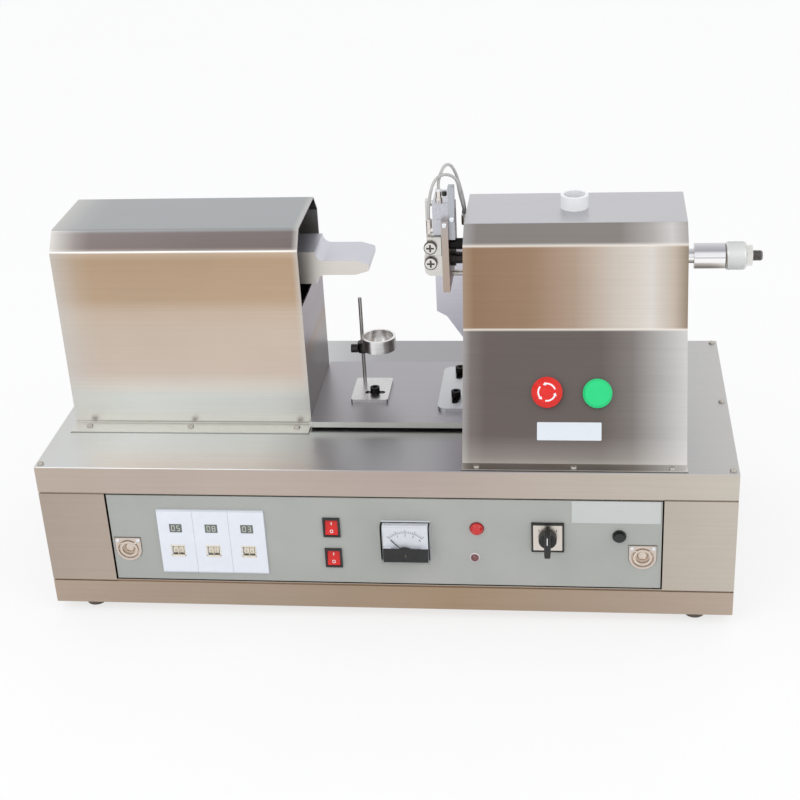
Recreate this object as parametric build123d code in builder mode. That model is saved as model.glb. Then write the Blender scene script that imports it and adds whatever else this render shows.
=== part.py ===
from build123d import *
import math
import os

os.makedirs("parts", exist_ok=True)

# Bench-top ultrasonic tube sealing machine, in millimetres, +Z up.
# The origin is the middle of the machine's footprint, at floor level.
# X runs along the cabinet, from the horn to the stroke adjuster, and Y from front to back.

# Sheet and clearances
sheet = 2.0              # folded stainless sheet
fold_r = 1.5             # outer edges of the cabinet
bend_r = 3.0             # outer bends of the hood and the tower
fit_gap = 0.3            # between nested or neighbouring pieces
slide_gap = 0.2          # under pieces that slide on a flat
bore_gap = 0.05          # radial, around shafts and rods
hole_gap = 0.4           # radial, around screw shanks
over = 1.0               # how far a cut starts outside what it cuts

# Cabinet
cab_w, cab_d, cab_h = 910.0, 400.0, 211.0
foot_h, foot_r, foot_tip_r = 14.0, 17.0, 13.0
foot_inset_x, foot_inset_y = 47.0, 27.0
foot_stud_r, foot_stud_h = 3.0, 7.0
rail_h = 35.0            # front lip of the base pan
lip_h = 37.5             # front lip of the deck sheet
seam = 2.5               # dark joint between lips and posts
post_left, post_right = 89.5, 91.8
panel_gap = 2.0          # around the control panel
cable_hole_r = 15.0      # in the deck, under the hood and under the tower

# Stroke adjuster, right of the tower
spindle_r, spindle_past_nut, spindle_tip_r = 7.0, 13.0, 2.0
nut_across, nut_t = 25.0, 7.5
thimble_r, thimble_len = 18.4, 27.0
barrel_r, barrel_len = 16.7, 39.5
neck_r, neck_out = 9.5, 12.0
thimble_round, spigot_r, spigot_len = 3.0, 12.0, 6.0

# Tower (right cover), all from the cabinet's centre line, front face and deck
tower_x, tower_w = 107.8, 283.0
tower_foot_y, tower_knee_y, tower_shoulder_y, tower_top_y = 18.0, 98.5, 131.3, 162.6
tower_back_top_y, tower_back_y = 276.7, 290.0
tower_knee_h, tower_shoulder_h, tower_h = 152.7, 253.6, 273.5

# The frame: the adjuster passes the cabinet's right side, the cam switch its front
cam_t, cam_hub_t, cam_fin_t = 3.0, 8.0, 16.0
panel_inset, panel_t = 2.0, 2.0
inlet_out = 22.0
cam_out = cam_t + cam_hub_t + cam_fin_t - panel_inset
adjuster_reach = (tower_x + tower_w + neck_out + barrel_len + thimble_len + nut_t
                  + spindle_past_nut + 2 * fit_gap)
cab_x = (cab_w / 2 - adjuster_reach) / 2
front_y = (cam_out - cab_d - inlet_out) / 2
back_y = front_y + cab_d
left_x, right_x = cab_x - cab_w / 2, cab_x + cab_w / 2
cab_z = foot_h
deck_z = cab_z + cab_h

# Bed plate
bed_gap, bed_t, bed_pad, bed_wall_gap = 4.0, 8.0, 22.0, 3.0
bed_front, bed_back = 110.0, 300.0
bed_z = deck_z + bed_gap + bed_t

# Hood (left cover)
hood_x, hood_w = -434.4, 329.6
hood_y, hood_d, hood_h = 125.0, 165.0, 275.0
hood_cut_y, hood_cut_z = 22.0, 24.0
end_plate_below = 14.9    # from the horn's underside down to the hood's end plate
flange_w, back_flange_w = 27.0, 15.0
tower_flange_w = 15.0

# Press axis, shared by horn, ram, anvil and adjuster
axis_y = front_y + 207.0
axis_z = deck_z + 209.2

# Horn, booster and transducer
horn_w, horn_block_h, blade_h = 70.0, 44.6, 20.0
horn_block_x0, horn_block_x1, horn_tip_x = -165.0, -91.0, -20.0
horn_root_r, tip_len, tip_h, blade_end_r, tip_edge = 12.0, 18.0, 9.0, 10.8, 1.0
booster_r, booster_back_r, booster_len = 20.0, 26.0, 125.0
booster_ring_r, booster_ring_t = 32.0, 8.0
front_mass_r, front_mass_len = 27.0, 55.0
piezo_r, piezo_t, piezo_step, piezo_count = 25.0, 6.0, 1.0, 4
back_mass_r, back_mass_len, back_bolt_r, back_bolt_t = 23.0, 28.0, 8.2, 9.0
clamp_t, clamp_w, clamp_over = 20.0, 94.0, 11.0
clamp_foot_w, clamp_foot_t = 60.0, 10.0

# Press head
carrier_x, carrier_t = 77.5, 9.0
carrier_w, carrier_low, carrier_high = 78.0, -34.0, 64.0
rear_plate_t, rear_plate_w, rear_plate_low, rear_plate_high = 8.0, 14.0, 35.0, 106.0
rear_plate_dy = -20.0
anvil_len, anvil_low, anvil_high = 23.5, -12.0, 16.0
anvil_round = 9.0
blade_t, knife_travel, knife_back, carriage_back = 2.0, 12.0, 2.0, 1.0
carriage_h, yoke_t, yoke_w = 23.0, 4.0, 10.0
block_screw_r, block_screw_t, block_screw_in = 8.2, 4.5, 15.0
anvil_screw_z, knife_screw_z = 6.5, 28.0
cutter_len, cutter_w, cutter_h = 20.5, 56.0, 21.0
cheek_len, cheek_w, cheek_dy, cheek_low = 11.5, 20.0, -19.0, 42.0
cutter_rod_r, cutter_rod_stay, cutter_rod_dy = 4.0, 6.7, 5.0
fitting_r, fitting_elbow_h, fitting_hex_r, fitting_hex_h = 4.0, 16.5, 5.0, 5.0
elbow_dx, elbow_dy, elbow_below = -17.0, -23.0, 4.2
straight_dx, straight_dy, straight_len = -3.5, -17.0, 12.8
ram_r, ram_tail_r, piston_r, piston_t = 8.0, 5.0, 12.5, 12.0
seal_gap = 1.0
head_travel = carrier_x - anvil_len - horn_tip_x - seal_gap
gland_r, gland_t = 11.0, 6.0
guide_top_r, guide_low_r = 7.5, 4.0
guide_top_y, guide_top_z = -17.0, 26.0
guide_low_y, guide_low_z = 17.0, -28.5

# Press frame inside the tower
upright_t, upright_w, upright_over, rear_upright_over = 20.0, 92.0, 38.0, 19.0
foot_plate_t, foot_plate_left, foot_plate_r = 5.0, 65.0, 12.0
foot_plate_front, foot_plate_back = 142.0, 273.0
foot_screw_in, foot_screw_off = 23.0, 8.0
foot_screw_front, foot_screw_back = 180.0, 256.0
cylinder_side, cylinder_wall, cylinder_play = 36.0, 8.0, 1.0
rear_upright_t = 12.0
ram_opening_y0, ram_opening_y1, ram_opening_gap = 174.0, 240.0, 2.5
upright_play, spindle_room, spindle_inside = 1.0, 24.0, 8.0

# Guard plate behind the press head; heights are measured from the press axis
guard_y, guard_fold, guard_x, guard_nose = 281.0, 16.0, 56.0, 14.0
guard_neck_x, guard_neck_w, guard_heel_x = 77.0, 11.0, 91.0
guard_low, guard_chin, guard_nose_low, guard_nose_high = -149.2, -117.2, -109.2, -45.2
guard_neck_low, guard_fold_high, guard_high = -30.2, -8.2, 55.0

# Tube holder
post_r, post_top = 2.5, 132.0
holder_base_t, holder_base_r = 5.0, 4.0
holder_base_x0, holder_base_x1 = -56.0, -5.0
holder_base_y0, holder_base_y1 = 167.0, 236.0
base_screw_dx, base_screw_dy = -25.0, 190.0
post_x, post_y = -43.5, 225.0
collar_r, collar_h, collar_over = 7.0, 15.0, 1.0
arm_t, arm_post_r, arm_cup_r, arm_z = 4.0, 6.0, 12.0, 61.0
knob_shank_r, knob_r, knob_len = 2.0, 6.0, 9.0
cup_r, cup_bore_r, cup_h, cup_floor = 23.5, 20.0, 18.0, 3.0
cup_x = -18.0
cup_pin_r = 4.0

# Spare cup parked on the tower
spare_r, spare_bore_r, spare_h = 18.0, 14.0, 17.7
spare_x, spare_y, parking_h = 248.3, 219.5, 4.0

# Buttons on the tower's sloping face, by their distance up the slope
stop_x, stop_up, stop_r = 215.5, 92.5, 19.5
start_x, start_up, start_r = 278.7, 91.5, 18.5
button_hole_r, collar_out, collar_out_r = 11.0, 3.0, 15.0
stem_r, stem_inside, stop_travel, start_travel = 7.0, 10.0, 5.0, 4.0
stop_neck, stop_head_t, stop_dome, stop_spigot_r, stop_spigot_h = 9.0, 13.0, 6.0, 5.0, 6.0
start_neck, start_head_t, start_dome = 5.5, 9.0, 3.0
button_body_r, button_body_len, contact_w, contact_len = 10.5, 18.0, 24.0, 30.0
button_nut_r, button_nut_t = 14.0, 3.0

# Control panel
timer_w, timer_h, timer_pitch, timer_in_left, timer_z = 48.0, 96.0, 48.0, 139.5, 100.5
timer_bezel, timer_depth, timer_body_w, timer_body_h = 3.0, 68.0, 44.0, 90.0
wheel_r, wheel_w, wheel_pin_r = 9.0, 6.5, 1.5
wheel_window_w, wheel_window_h, wheel_window_z, wheel_lip = 16.5, 15.0, -14.0, 1.2
wheel_gap, wheel_room, wheel_pin_in = 0.4, 1.0, 1.4
display_w, display_h, display_z, display_deep = 17.0, 13.0, 20.6, 0.8
rocker_x, rocker_z0, rocker_pitch = -65.1, 124.6, 46.6
rocker_bezel_w, rocker_bezel_h, rocker_bezel_t = 22.5, 28.5, 2.5
rocker_w, rocker_half, rocker_pivot, rocker_tilt = 16.5, 10.6, 1.5, 10.0
rocker_front, rocker_dip, rocker_back, rocker_back_half = 3.2, 2.2, 3.0, 9.5
rocker_body_w, rocker_body_h, rocker_body_len, rocker_well = 19.5, 26.0, 22.0, 10.0
rocker_room, rocker_pin_r, rocker_pin_in = 0.8, 1.2, 0.9
meter_x, meter_z, meter_w, meter_h, meter_out = 32.5, 107.2, 64.0, 57.0, 16.0
meter_wall, meter_low_h, meter_body_r, meter_body_len = 2.0, 22.0, 25.0, 32.0
meter_flange_t, dial_t, mask_t, mask_well_w = 3.0, 6.0, 1.2, 40.0
needle_len, needle_r, needle_hub_r, needle_hub_t = 26.0, 0.6, 3.5, 2.6
needle_tail, needle_tail_r, needle_z, needle_rest = 6.0, 0.9, -14.0, 45.0
needle_pin_r, needle_pin_in = 0.8, 2.8
lamp_x, lamp_z, lamp_r, lamp_out, lamp_body_r, lamp_body_len = 125.0, 126.0, 8.3, 6.0, 7.0, 26.0
led_x, led_z, led_r, led_out, led_body_r, led_body_len = 121.4, 82.0, 5.0, 5.0, 4.0, 14.0
lens_step, lens_taper = 1.0, 2.4
cam_x, cam_z, cam_w, cam_h = 216.3, 114.8, 42.0, 43.0
cam_hub_r, cam_fin_w, cam_fin_len, cam_shaft_r, cam_shaft_in = 11.5, 7.0, 32.0, 4.0, 20.0
cam_neck_r, cam_body_w, cam_body_len = 10.6, 36.0, 48.0
test_x, test_z, test_collar_r, test_collar_out, test_travel = 307.5, 117.6, 8.8, 2.0, 3.0
test_r, test_out, test_inside, test_body_r, test_body_len = 6.5, 6.0, 8.0, 8.0, 25.0
pull_in_left, pull_in_right, pull_z, pull_w = 22.8, 25.6, 86.0, 35.0
pull_plate_t, dish_r, dish_deep, dish_wall = 1.2, 14.5, 7.0, 1.2
ring_r, ring_hole_r, ring_t, ring_pin_r, ring_pin_z, ring_pin_half = 12.0, 9.0, 3.2, 1.2, 8.5, 12.2

# Drawer behind the panel
tray_side, tray_h, tray_d, tray_t = 17.35, 104.0, 316.0, 1.5
ledge_w, ledge_t = 16.0, 2.0
tray_flange, tray_back_h, dish_notch = 12.0, 60.0, 12.0
board_t, board_w, board_d, board_post, board_post_r, board_post_in = (1.6, 330.0, 190.0, 8.0,
                                                                      3.0, 14.0)
board_x, board_y = -110.0, 205.0
transformer_x, transformer_w, transformer_d, transformer_h = 150.0, 96.0, 84.0, 86.0
coil_w, coil_d, coil_h = 58.0, 104.0, 52.0
sink_x, sink_w, sink_d, sink_h, sink_base, sink_fins, sink_fin_t = (265.0, 100.0, 120.0, 56.0,
                                                                    8.0, 9, 3.0)

# Screws
screw_head_r, screw_top_r, screw_head_h, screw_r, screw_len = 4.2, 2.94, 2.6, 2.0, 7.0
deck_screw_left, deck_screw_right, deck_screw_y = 7.0, 8.0, 9.0
hood_screw_left, hood_screw_right, hood_screw_out = 23.0, 18.0, 12.0
tower_screw_in, tower_screw_out = 18.7, 9.0
clamp_head_r, clamp_head_h, clamp_screw_r, clamp_socket_r = 6.5, 8.0, 4.0, 3.0
slot_half = clamp_screw_r + hole_gap
foot_slot_len, base_slot_len = 30.0, 28.0

# Back of the cabinet
air_x, air_z, air_body_r, air_bore_r, air_bore_len = 330.0, 90.0, 9.0, 3.05, 14.0
air_flange_r, air_flange_t, air_inside = 13.0, 3.0, 12.0
mains_x, mains_z, mains_w, mains_h = -330.0, 90.0, 48.0, 28.0
mains_lip, mains_flange_t, mains_body_len, mains_well = 2.5, 2.5, 20.0, 16.0
mains_well_w, mains_well_h, mains_pin_w, mains_pin_h, mains_pin_back = 25.0, 16.0, 2.0, 6.0, 4.0
mains_pin_dx, mains_pin_dz = 7.0, 1.9
vent_w, vent_h, vent_pitch, vent_count = 120.0, 4.0, 9.0, 6

# Hoses, and the elbows on the tower's wall
hose_r = 2.0
elbow_r, elbow_out, elbow_low, elbow_high = 4.0, 4.3, 4.0, 8.0
outer_elbow_y, outer_elbow_drop = 236.5, 17.5
inner_elbow_y, inner_elbow_drop = 226.0, 20.5


def block(x, y, z, mode=Mode.ADD):
    """A box between two corners, given as low and high values along each axis."""
    with Locations(((x[0] + x[1]) / 2, (y[0] + y[1]) / 2, (z[0] + z[1]) / 2)):
        Box(x[1] - x[0], y[1] - y[0], z[1] - z[0], mode=mode)


def bar(start, direction, radius, length, mode=Mode.ADD):
    """A round bar from a start point along a direction."""
    with Locations(Plane(origin=start, z_dir=direction)):
        Cylinder(radius, length, align=(Align.CENTER, Align.CENTER, Align.MIN), mode=mode)


def around(centre, half):
    """Low and high values on both sides of a centre."""
    return (centre - half, centre + half)


right, left, up, down, forward, back = ((1, 0, 0), (-1, 0, 0), (0, 0, 1), (0, 0, -1),
                                        (0, -1, 0), (0, 1, 0))


def save(piece, name):
    piece.part.label = name
    export_step(piece.part, f"parts/{name}.step")


def cabinet_point(x, y, z):
    """A place given from the cabinet's centre line, front face and floor."""
    return (cab_x + x, front_y + y, cab_z + z)


# Places shared by several pieces
hood_x0, hood_x1 = cab_x + hood_x, cab_x + hood_x + hood_w
hood_front, hood_back = front_y + hood_y, front_y + hood_y + hood_d
tower_x0, tower_x1 = cab_x + tower_x, cab_x + tower_x + tower_w
tower_front, tower_back = front_y + tower_foot_y, front_y + tower_back_y
opening_x0, opening_x1 = left_x + post_left, right_x - post_right
opening_z0, opening_z1 = cab_z + rail_h + seam, deck_z - lip_h - seam
tray_z = opening_z0 + panel_gap + tray_t
tray_x = (opening_x0 + opening_x1) / 2
tray_w = opening_x1 - opening_x0 - 2 * tray_side
foot_points = [(x, y) for x in (left_x + foot_inset_x, right_x - foot_inset_x)
               for y in (front_y + foot_inset_y, back_y - foot_inset_y)]
hood_screws = [(x, y) for x in (hood_x0 + hood_screw_left, hood_x0 + hood_w / 2,
                                hood_x1 - hood_screw_right)
               for y in (hood_front - hood_screw_out, hood_back + back_flange_w / 2)]
tower_screws = [(x, y) for x in (tower_x0 + tower_screw_in, tower_x0 + tower_w / 2,
                                 tower_x1 - tower_screw_in)
                for y in (tower_front - tower_screw_out, tower_back + back_flange_w / 2)]
deck_screws = [(x, y) for x in (left_x + deck_screw_left, right_x - deck_screw_right)
               for y in (front_y + deck_screw_y, front_y + cab_d / 2, back_y - deck_screw_y)]
elbow_points = [(front_y + y, deck_z + tower_h - drop)
                for y, drop in ((outer_elbow_y, outer_elbow_drop), (inner_elbow_y, inner_elbow_drop))]

# Places along the press axis, from the sealing head to the adjuster
head_x = cab_x + carrier_x
rod_x = head_x + carrier_t
upright_x0 = tower_x0 + sheet + fit_gap
upright_x1 = upright_x0 + upright_t
cylinder_len = 2 * cylinder_wall + head_travel + piston_t + 2 * cylinder_play
cylinder_x1 = upright_x1 + cylinder_len
piston_x = cylinder_x1 - cylinder_wall - cylinder_play - piston_t
tail_x = cylinder_x1 + head_travel + 4 * cylinder_play
rear_x0 = tail_x + spindle_room
rear_x1 = rear_x0 + rear_upright_t
barrel_x0 = tower_x1 + neck_out
thimble_x0 = barrel_x0 + barrel_len + fit_gap
nut_x0 = thimble_x0 + thimble_len + fit_gap
plate_z = bed_z + foot_plate_t
plate_x0 = cab_x + foot_plate_left
foot_screw_x = plate_x0 + foot_screw_in
foot_screw_y = [front_y + y for y in (foot_screw_front, foot_screw_back)]
guides = ((guide_top_y, guide_top_z, guide_top_r), (guide_low_y, guide_low_z, guide_low_r))
holder_z = bed_z + slide_gap
base_screw_x, base_screw_y = cab_x + base_screw_dx, front_y + base_screw_dy

# Base pan: floor, four folded-up lips and two runners for the drawer
with BuildPart() as base_pan:
    block((left_x, right_x), (front_y, back_y), (cab_z, cab_z + rail_h))
    fillet(base_pan.edges().filter_by(Axis.Z) + base_pan.faces().sort_by(Axis.Z)[0].edges(),
           fold_r)
    block((left_x + sheet, right_x - sheet), (front_y + sheet, back_y - sheet),
          (cab_z + sheet, cab_z + rail_h), Mode.SUBTRACT)
    for side in (-1, 1):
        web = tray_x + side * (tray_w / 2 + fit_gap)
        outer = web + side * ledge_t
        inner = web - side * ledge_w
        depth = (front_y + 3 * sheet, front_y + tray_d)
        block(sorted((web, outer)), depth, (cab_z + sheet, tray_z + ledge_w))
        block(sorted((outer, inner)), depth, (tray_z - slide_gap - ledge_t, tray_z - slide_gap))
    with Locations(Plane.XY.offset(cab_z)):
        with Locations(foot_points):
            Hole(foot_stud_r + hole_gap, sheet)
save(base_pan, "base_pan")

# Four rubber feet with moulded-in studs
with BuildPart() as rubber_feet:
    for x, y in foot_points:
        with Locations((x, y, 0)):
            Cone(foot_tip_r, foot_r, foot_h / 2, align=(Align.CENTER, Align.CENTER, Align.MIN))
        bar((x, y, foot_h / 2), up, foot_r, foot_h / 2)
        bar((x, y, foot_h), up, foot_stud_r, foot_stud_h)
save(rubber_feet, "rubber_feet")

# Wrap: the cabinet's sides, back and front posts, joggled to nest inside both lips
with BuildPart() as cabinet_wrap:
    skirt = sheet + fit_gap
    block((left_x, right_x), (front_y, back_y), (opening_z0, opening_z1))
    fillet(cabinet_wrap.edges().filter_by(Axis.Z), fold_r)
    block((left_x + skirt, right_x - skirt), (front_y + skirt, back_y - skirt),
          (cab_z + sheet, deck_z - sheet))
    wall = skirt + sheet
    block((left_x + wall, right_x - wall), (front_y + wall, back_y - wall),
          (cab_z, deck_z), Mode.SUBTRACT)
    block((opening_x0, opening_x1), (front_y - sheet, front_y + 2 * wall),
          (opening_z0, opening_z1), Mode.SUBTRACT)
    for row in range(vent_count):
        vent_z = deck_z - lip_h - 2 * vent_pitch - row * vent_pitch
        block(around(cab_x, vent_w / 2), (back_y - 2 * wall, back_y + sheet),
              around(vent_z, vent_h / 2), Mode.SUBTRACT)
    block(around(cab_x + mains_x, mains_w / 2 - mains_lip + fit_gap),
          (back_y - 2 * wall, back_y + sheet),
          around(cab_z + mains_z, mains_h / 2 - mains_lip + fit_gap), Mode.SUBTRACT)
    bar((cab_x + air_x, back_y + sheet, cab_z + air_z), forward, air_body_r + hole_gap,
        3 * wall, Mode.SUBTRACT)
save(cabinet_wrap, "cabinet_wrap")

# Deck sheet: the top of the cabinet with four folded-down lips
with BuildPart() as deck_sheet:
    block((left_x, right_x), (front_y, back_y), (deck_z - lip_h, deck_z))
    fillet(deck_sheet.edges().filter_by(Axis.Z) + deck_sheet.faces().sort_by(Axis.Z)[-1].edges(),
           fold_r)
    block((left_x + sheet, right_x - sheet), (front_y + sheet, back_y - sheet),
          (deck_z - lip_h - sheet, deck_z - sheet), Mode.SUBTRACT)
    with Locations(Plane.XY.offset(deck_z)):
        with Locations(deck_screws + hood_screws + tower_screws):
            Hole(screw_r + hole_gap, sheet)
    for x in (cab_x + hood_x + hood_w / 4, cab_x + tower_x + tower_w / 2):
        bar((x, back_y - cab_d / 4, deck_z - 2 * sheet), up, cable_hole_r, 3 * sheet,
            Mode.SUBTRACT)
save(deck_sheet, "deck_sheet")

# Pan head screws of the deck, the hood and the tower
with BuildPart() as cover_screws:
    for points, seat in ((deck_screws, deck_z), (hood_screws, deck_z + sheet),
                         (tower_screws, deck_z + sheet)):
        for x, y in points:
            with Locations((x, y, seat)):
                Cone(screw_head_r, screw_top_r, screw_head_h,
                     align=(Align.CENTER, Align.CENTER, Align.MIN))
            bar((x, y, seat), down, screw_r, screw_len)
save(cover_screws, "cover_screws")

# Bed plate: a thick plate on low pads, wide between the covers and narrower under them
with BuildPart() as bed_plate:
    bed_y0, bed_y1 = front_y + bed_front, front_y + bed_back
    hood_wall_y = hood_front + sheet + bed_wall_gap
    block((hood_x1 + fit_gap, tower_x1 - 2 * sheet), (bed_y0, bed_y1 - 2 * back_flange_w),
          (deck_z + bed_gap, bed_z))
    block((hood_x1 + fit_gap, tower_x0 - fit_gap), (bed_y0, bed_y1), (deck_z + bed_gap, bed_z))
    block((hood_x0 + 4 * sheet, hood_x1 + sheet), (hood_wall_y, hood_back - 2 * sheet),
          (deck_z + bed_gap, bed_z))
    for x in (hood_x0 + 2 * bed_pad, hood_x1 - 2 * bed_pad, tower_x0 + 2 * bed_pad,
              tower_x1 - 2 * bed_pad):
        for y in (hood_wall_y + bed_pad, hood_back - 2 * bed_pad):
            block(around(x, bed_pad / 2), around(y, bed_pad / 2), (deck_z, deck_z + bed_gap))
save(bed_plate, "bed_plate")

# Hood: folded sheet with chamfered shoulders, closed on the left. On the right a welded end
# plate rises to just below the horn.
with BuildPart() as hood_cover:
    for inset, mode in ((0, Mode.ADD), (sheet, Mode.SUBTRACT)):
        y0, y1 = hood_front + inset, hood_back - inset
        top = deck_z + hood_h - inset
        cut = inset * math.tan(math.radians(22.5))
        with BuildSketch(Plane.YZ.offset(hood_x0 + inset)) as profile:
            with BuildLine():
                Polyline((y0, deck_z), (y0, top - hood_cut_z + cut), (y0 + hood_cut_y - cut, top),
                         (y1 - hood_cut_y + cut, top), (y1, top - hood_cut_z + cut),
                         (y1, deck_z), close=True)
            make_face()
            fillet(profile.vertices().sort_by(Axis.Y)[2:], bend_r - inset)
        extrude(amount=hood_w if mode == Mode.ADD else hood_w + sheet, mode=mode)
    block((hood_x1 - sheet, hood_x1), (hood_front, hood_back),
          (bed_z + fit_gap, axis_z - horn_block_h / 2 - end_plate_below))
    block((hood_x0, hood_x1), (hood_front - flange_w, hood_front + sheet),
          (deck_z, deck_z + sheet))
    block((hood_x0, hood_x1), (hood_back - sheet, hood_back + back_flange_w),
          (deck_z, deck_z + sheet))
    with Locations(Plane.XY.offset(deck_z + sheet)):
        with Locations(hood_screws):
            Hole(screw_r + hole_gap, sheet)
save(hood_cover, "hood_cover")

# Transducer stack: back mass, piezo rings, front mass and booster, face to face
with BuildPart() as transducer_stack:
    booster_x0 = cab_x + horn_block_x0 - booster_len
    booster_mid = cab_x + horn_block_x0 - booster_len / 2
    with BuildSketch(Plane.XZ.offset(-axis_y)):
        with BuildLine():
            Polyline((booster_x0, axis_z), (booster_x0, axis_z + booster_back_r),
                     (booster_mid - booster_ring_t / 2, axis_z + booster_back_r),
                     (booster_mid - booster_ring_t / 2, axis_z + booster_ring_r),
                     (booster_mid + booster_ring_t / 2, axis_z + booster_ring_r),
                     (booster_mid + booster_ring_t / 2, axis_z + booster_r),
                     (cab_x + horn_block_x0, axis_z + booster_r),
                     (cab_x + horn_block_x0, axis_z), close=True)
        make_face()
    revolve(axis=Axis((booster_mid, axis_y, axis_z), (1, 0, 0)))
    x = booster_x0
    bar((x, axis_y, axis_z), left, front_mass_r, front_mass_len)
    x -= front_mass_len
    for ring in range(piezo_count):
        bar((x, axis_y, axis_z), left, piezo_r - piezo_step * (ring % 2), piezo_t)
        x -= piezo_t
    bar((x, axis_y, axis_z), left, back_mass_r, back_mass_len)
    bar((x - back_mass_len, axis_y, axis_z), left, back_bolt_r, back_bolt_t)
save(transducer_stack, "transducer_stack")

# Clamp stand: holds the booster by its ring and stands on the bed plate
with BuildPart() as transducer_clamp:
    clamp_top = axis_z + booster_ring_r + clamp_over
    block(around(booster_mid, clamp_t / 2), around(axis_y, clamp_w / 2), (bed_z, clamp_top))
    block(around(booster_mid, clamp_foot_w / 2), around(axis_y, clamp_w / 2),
          (bed_z, bed_z + clamp_foot_t))
    bar((booster_mid - clamp_t, axis_y, axis_z), right, booster_ring_r + bore_gap, 2 * clamp_t,
        Mode.SUBTRACT)
save(transducer_clamp, "transducer_clamp")

# Horn: a block that steps down through a large fillet to a wide flat blade
with BuildPart() as horn:
    block_x0, block_x1, tip_x = (cab_x + horn_block_x0, cab_x + horn_block_x1,
                                 cab_x + horn_tip_x)
    half_block, half_blade, half_tip = horn_block_h / 2, blade_h / 2, tip_h / 2
    with BuildSketch(Plane.XZ.offset(-axis_y - horn_w / 2)):
        with BuildLine():
            Polyline((block_x0, axis_z - half_block), (block_x0, axis_z + half_block),
                     (block_x1, axis_z + half_block), (block_x1, axis_z + half_blade),
                     (tip_x - tip_len, axis_z + half_blade), (tip_x, axis_z + half_tip),
                     (tip_x, axis_z - half_tip), (tip_x - tip_len, axis_z - half_blade),
                     (block_x1, axis_z - half_blade), (block_x1, axis_z - half_block),
                     close=True)
        make_face()
    extrude(amount=horn_w)
    steps = horn.edges().filter_by(Axis.Y).filter_by_position(Axis.X, block_x1 - over, block_x1 + over)
    roots = steps.filter_by_position(Axis.Z, axis_z - half_blade - over,
                                      axis_z + half_blade + over)
    fillet(roots, horn_root_r)
    blade_ends = horn.edges().filter_by(Axis.Y).filter_by_position(
        Axis.X, tip_x - tip_len - over, tip_x - tip_len + over)
    fillet(blade_ends, blade_end_r)
    tip_edges = horn.edges().filter_by(Axis.Y).filter_by_position(Axis.X, tip_x - over, tip_x + over)
    chamfer(tip_edges, tip_edge)
save(horn, "horn")

# The tower's sloping lower face: a plane to place the buttons on, its Y runs up the slope
slope_run = tower_knee_y - tower_foot_y
slope_len = math.hypot(slope_run, tower_knee_h)
slope_out = (0, -tower_knee_h / slope_len, slope_run / slope_len)
slope = Plane(origin=(cab_x, tower_front, deck_z), x_dir=(1, 0, 0), z_dir=slope_out)
stop_point = tuple(slope.from_local_coords((stop_x, stop_up, 0)))
start_point = tuple(slope.from_local_coords((start_x, start_up, 0)))


def on_slope(point, out):
    """A point that stands off the sloping face."""
    return tuple(place + out * step for place, step in zip(point, slope_out))


slope_in = tuple(-step for step in slope_out)

# Tower: folded cover with a sloping front, open underneath and towards the press head
with BuildPart() as tower_cover:
    for inset, mode in ((0, Mode.ADD), (sheet, Mode.SUBTRACT)):
        low = inset * slope_len / tower_knee_h
        with BuildSketch(Plane.YZ.offset(tower_x0 + inset)) as profile:
            with BuildLine():
                Polyline((tower_front + low, deck_z),
                         (front_y + tower_knee_y + low, deck_z + tower_knee_h),
                         (front_y + tower_shoulder_y + inset,
                          deck_z + tower_shoulder_h - inset / 2),
                         (front_y + tower_top_y + inset / 2, deck_z + tower_h - inset),
                         (front_y + tower_back_top_y - inset / 2, deck_z + tower_h - inset),
                         (tower_back - inset, deck_z + tower_shoulder_h - inset / 2),
                         (tower_back - inset, deck_z), close=True)
            make_face()
            fillet(profile.vertices().sort_by(Axis.Y)[2:], bend_r - inset)
        extrude(amount=tower_w - 2 * inset, mode=mode)
    block((tower_x0, tower_x1), (tower_front - tower_flange_w, tower_front + sheet),
          (deck_z, deck_z + sheet))
    block((tower_x0, tower_x1), (tower_back - sheet, tower_back + back_flange_w),
          (deck_z, deck_z + sheet))
    block((tower_x0 - over, tower_x0 + 2 * sheet),
          (bed_y0 - fit_gap, tower_back - 3 * sheet),
          (deck_z - over, bed_z + foot_plate_t + fit_gap), Mode.SUBTRACT)
    block((tower_x0 - over, tower_x0 + 2 * sheet),
          (front_y + ram_opening_y0, front_y + ram_opening_y1),
          (axis_z + guide_low_z - guide_low_r - ram_opening_gap,
           axis_z + guide_top_z + guide_top_r + ram_opening_gap), Mode.SUBTRACT)
    for y, z in elbow_points:
        bar((tower_x0 - over, y, z), right, elbow_r + hole_gap, 3 * sheet, Mode.SUBTRACT)
    bar((tower_x1 - 2 * sheet, axis_y, axis_z), right, neck_r + hole_gap, 3 * sheet,
        Mode.SUBTRACT)
    for point in (stop_point, start_point):
        bar(on_slope(point, -2 * sheet), slope_out, button_hole_r, 3 * sheet, Mode.SUBTRACT)
    bar((cab_x + spare_x, front_y + spare_y, deck_z + tower_h), up,
        spare_bore_r - fit_gap, parking_h)
    with Locations(Plane.XY.offset(deck_z + sheet)):
        with Locations(tower_screws):
            Hole(screw_r + hole_gap, sheet)
save(tower_cover, "tower_cover")

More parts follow.
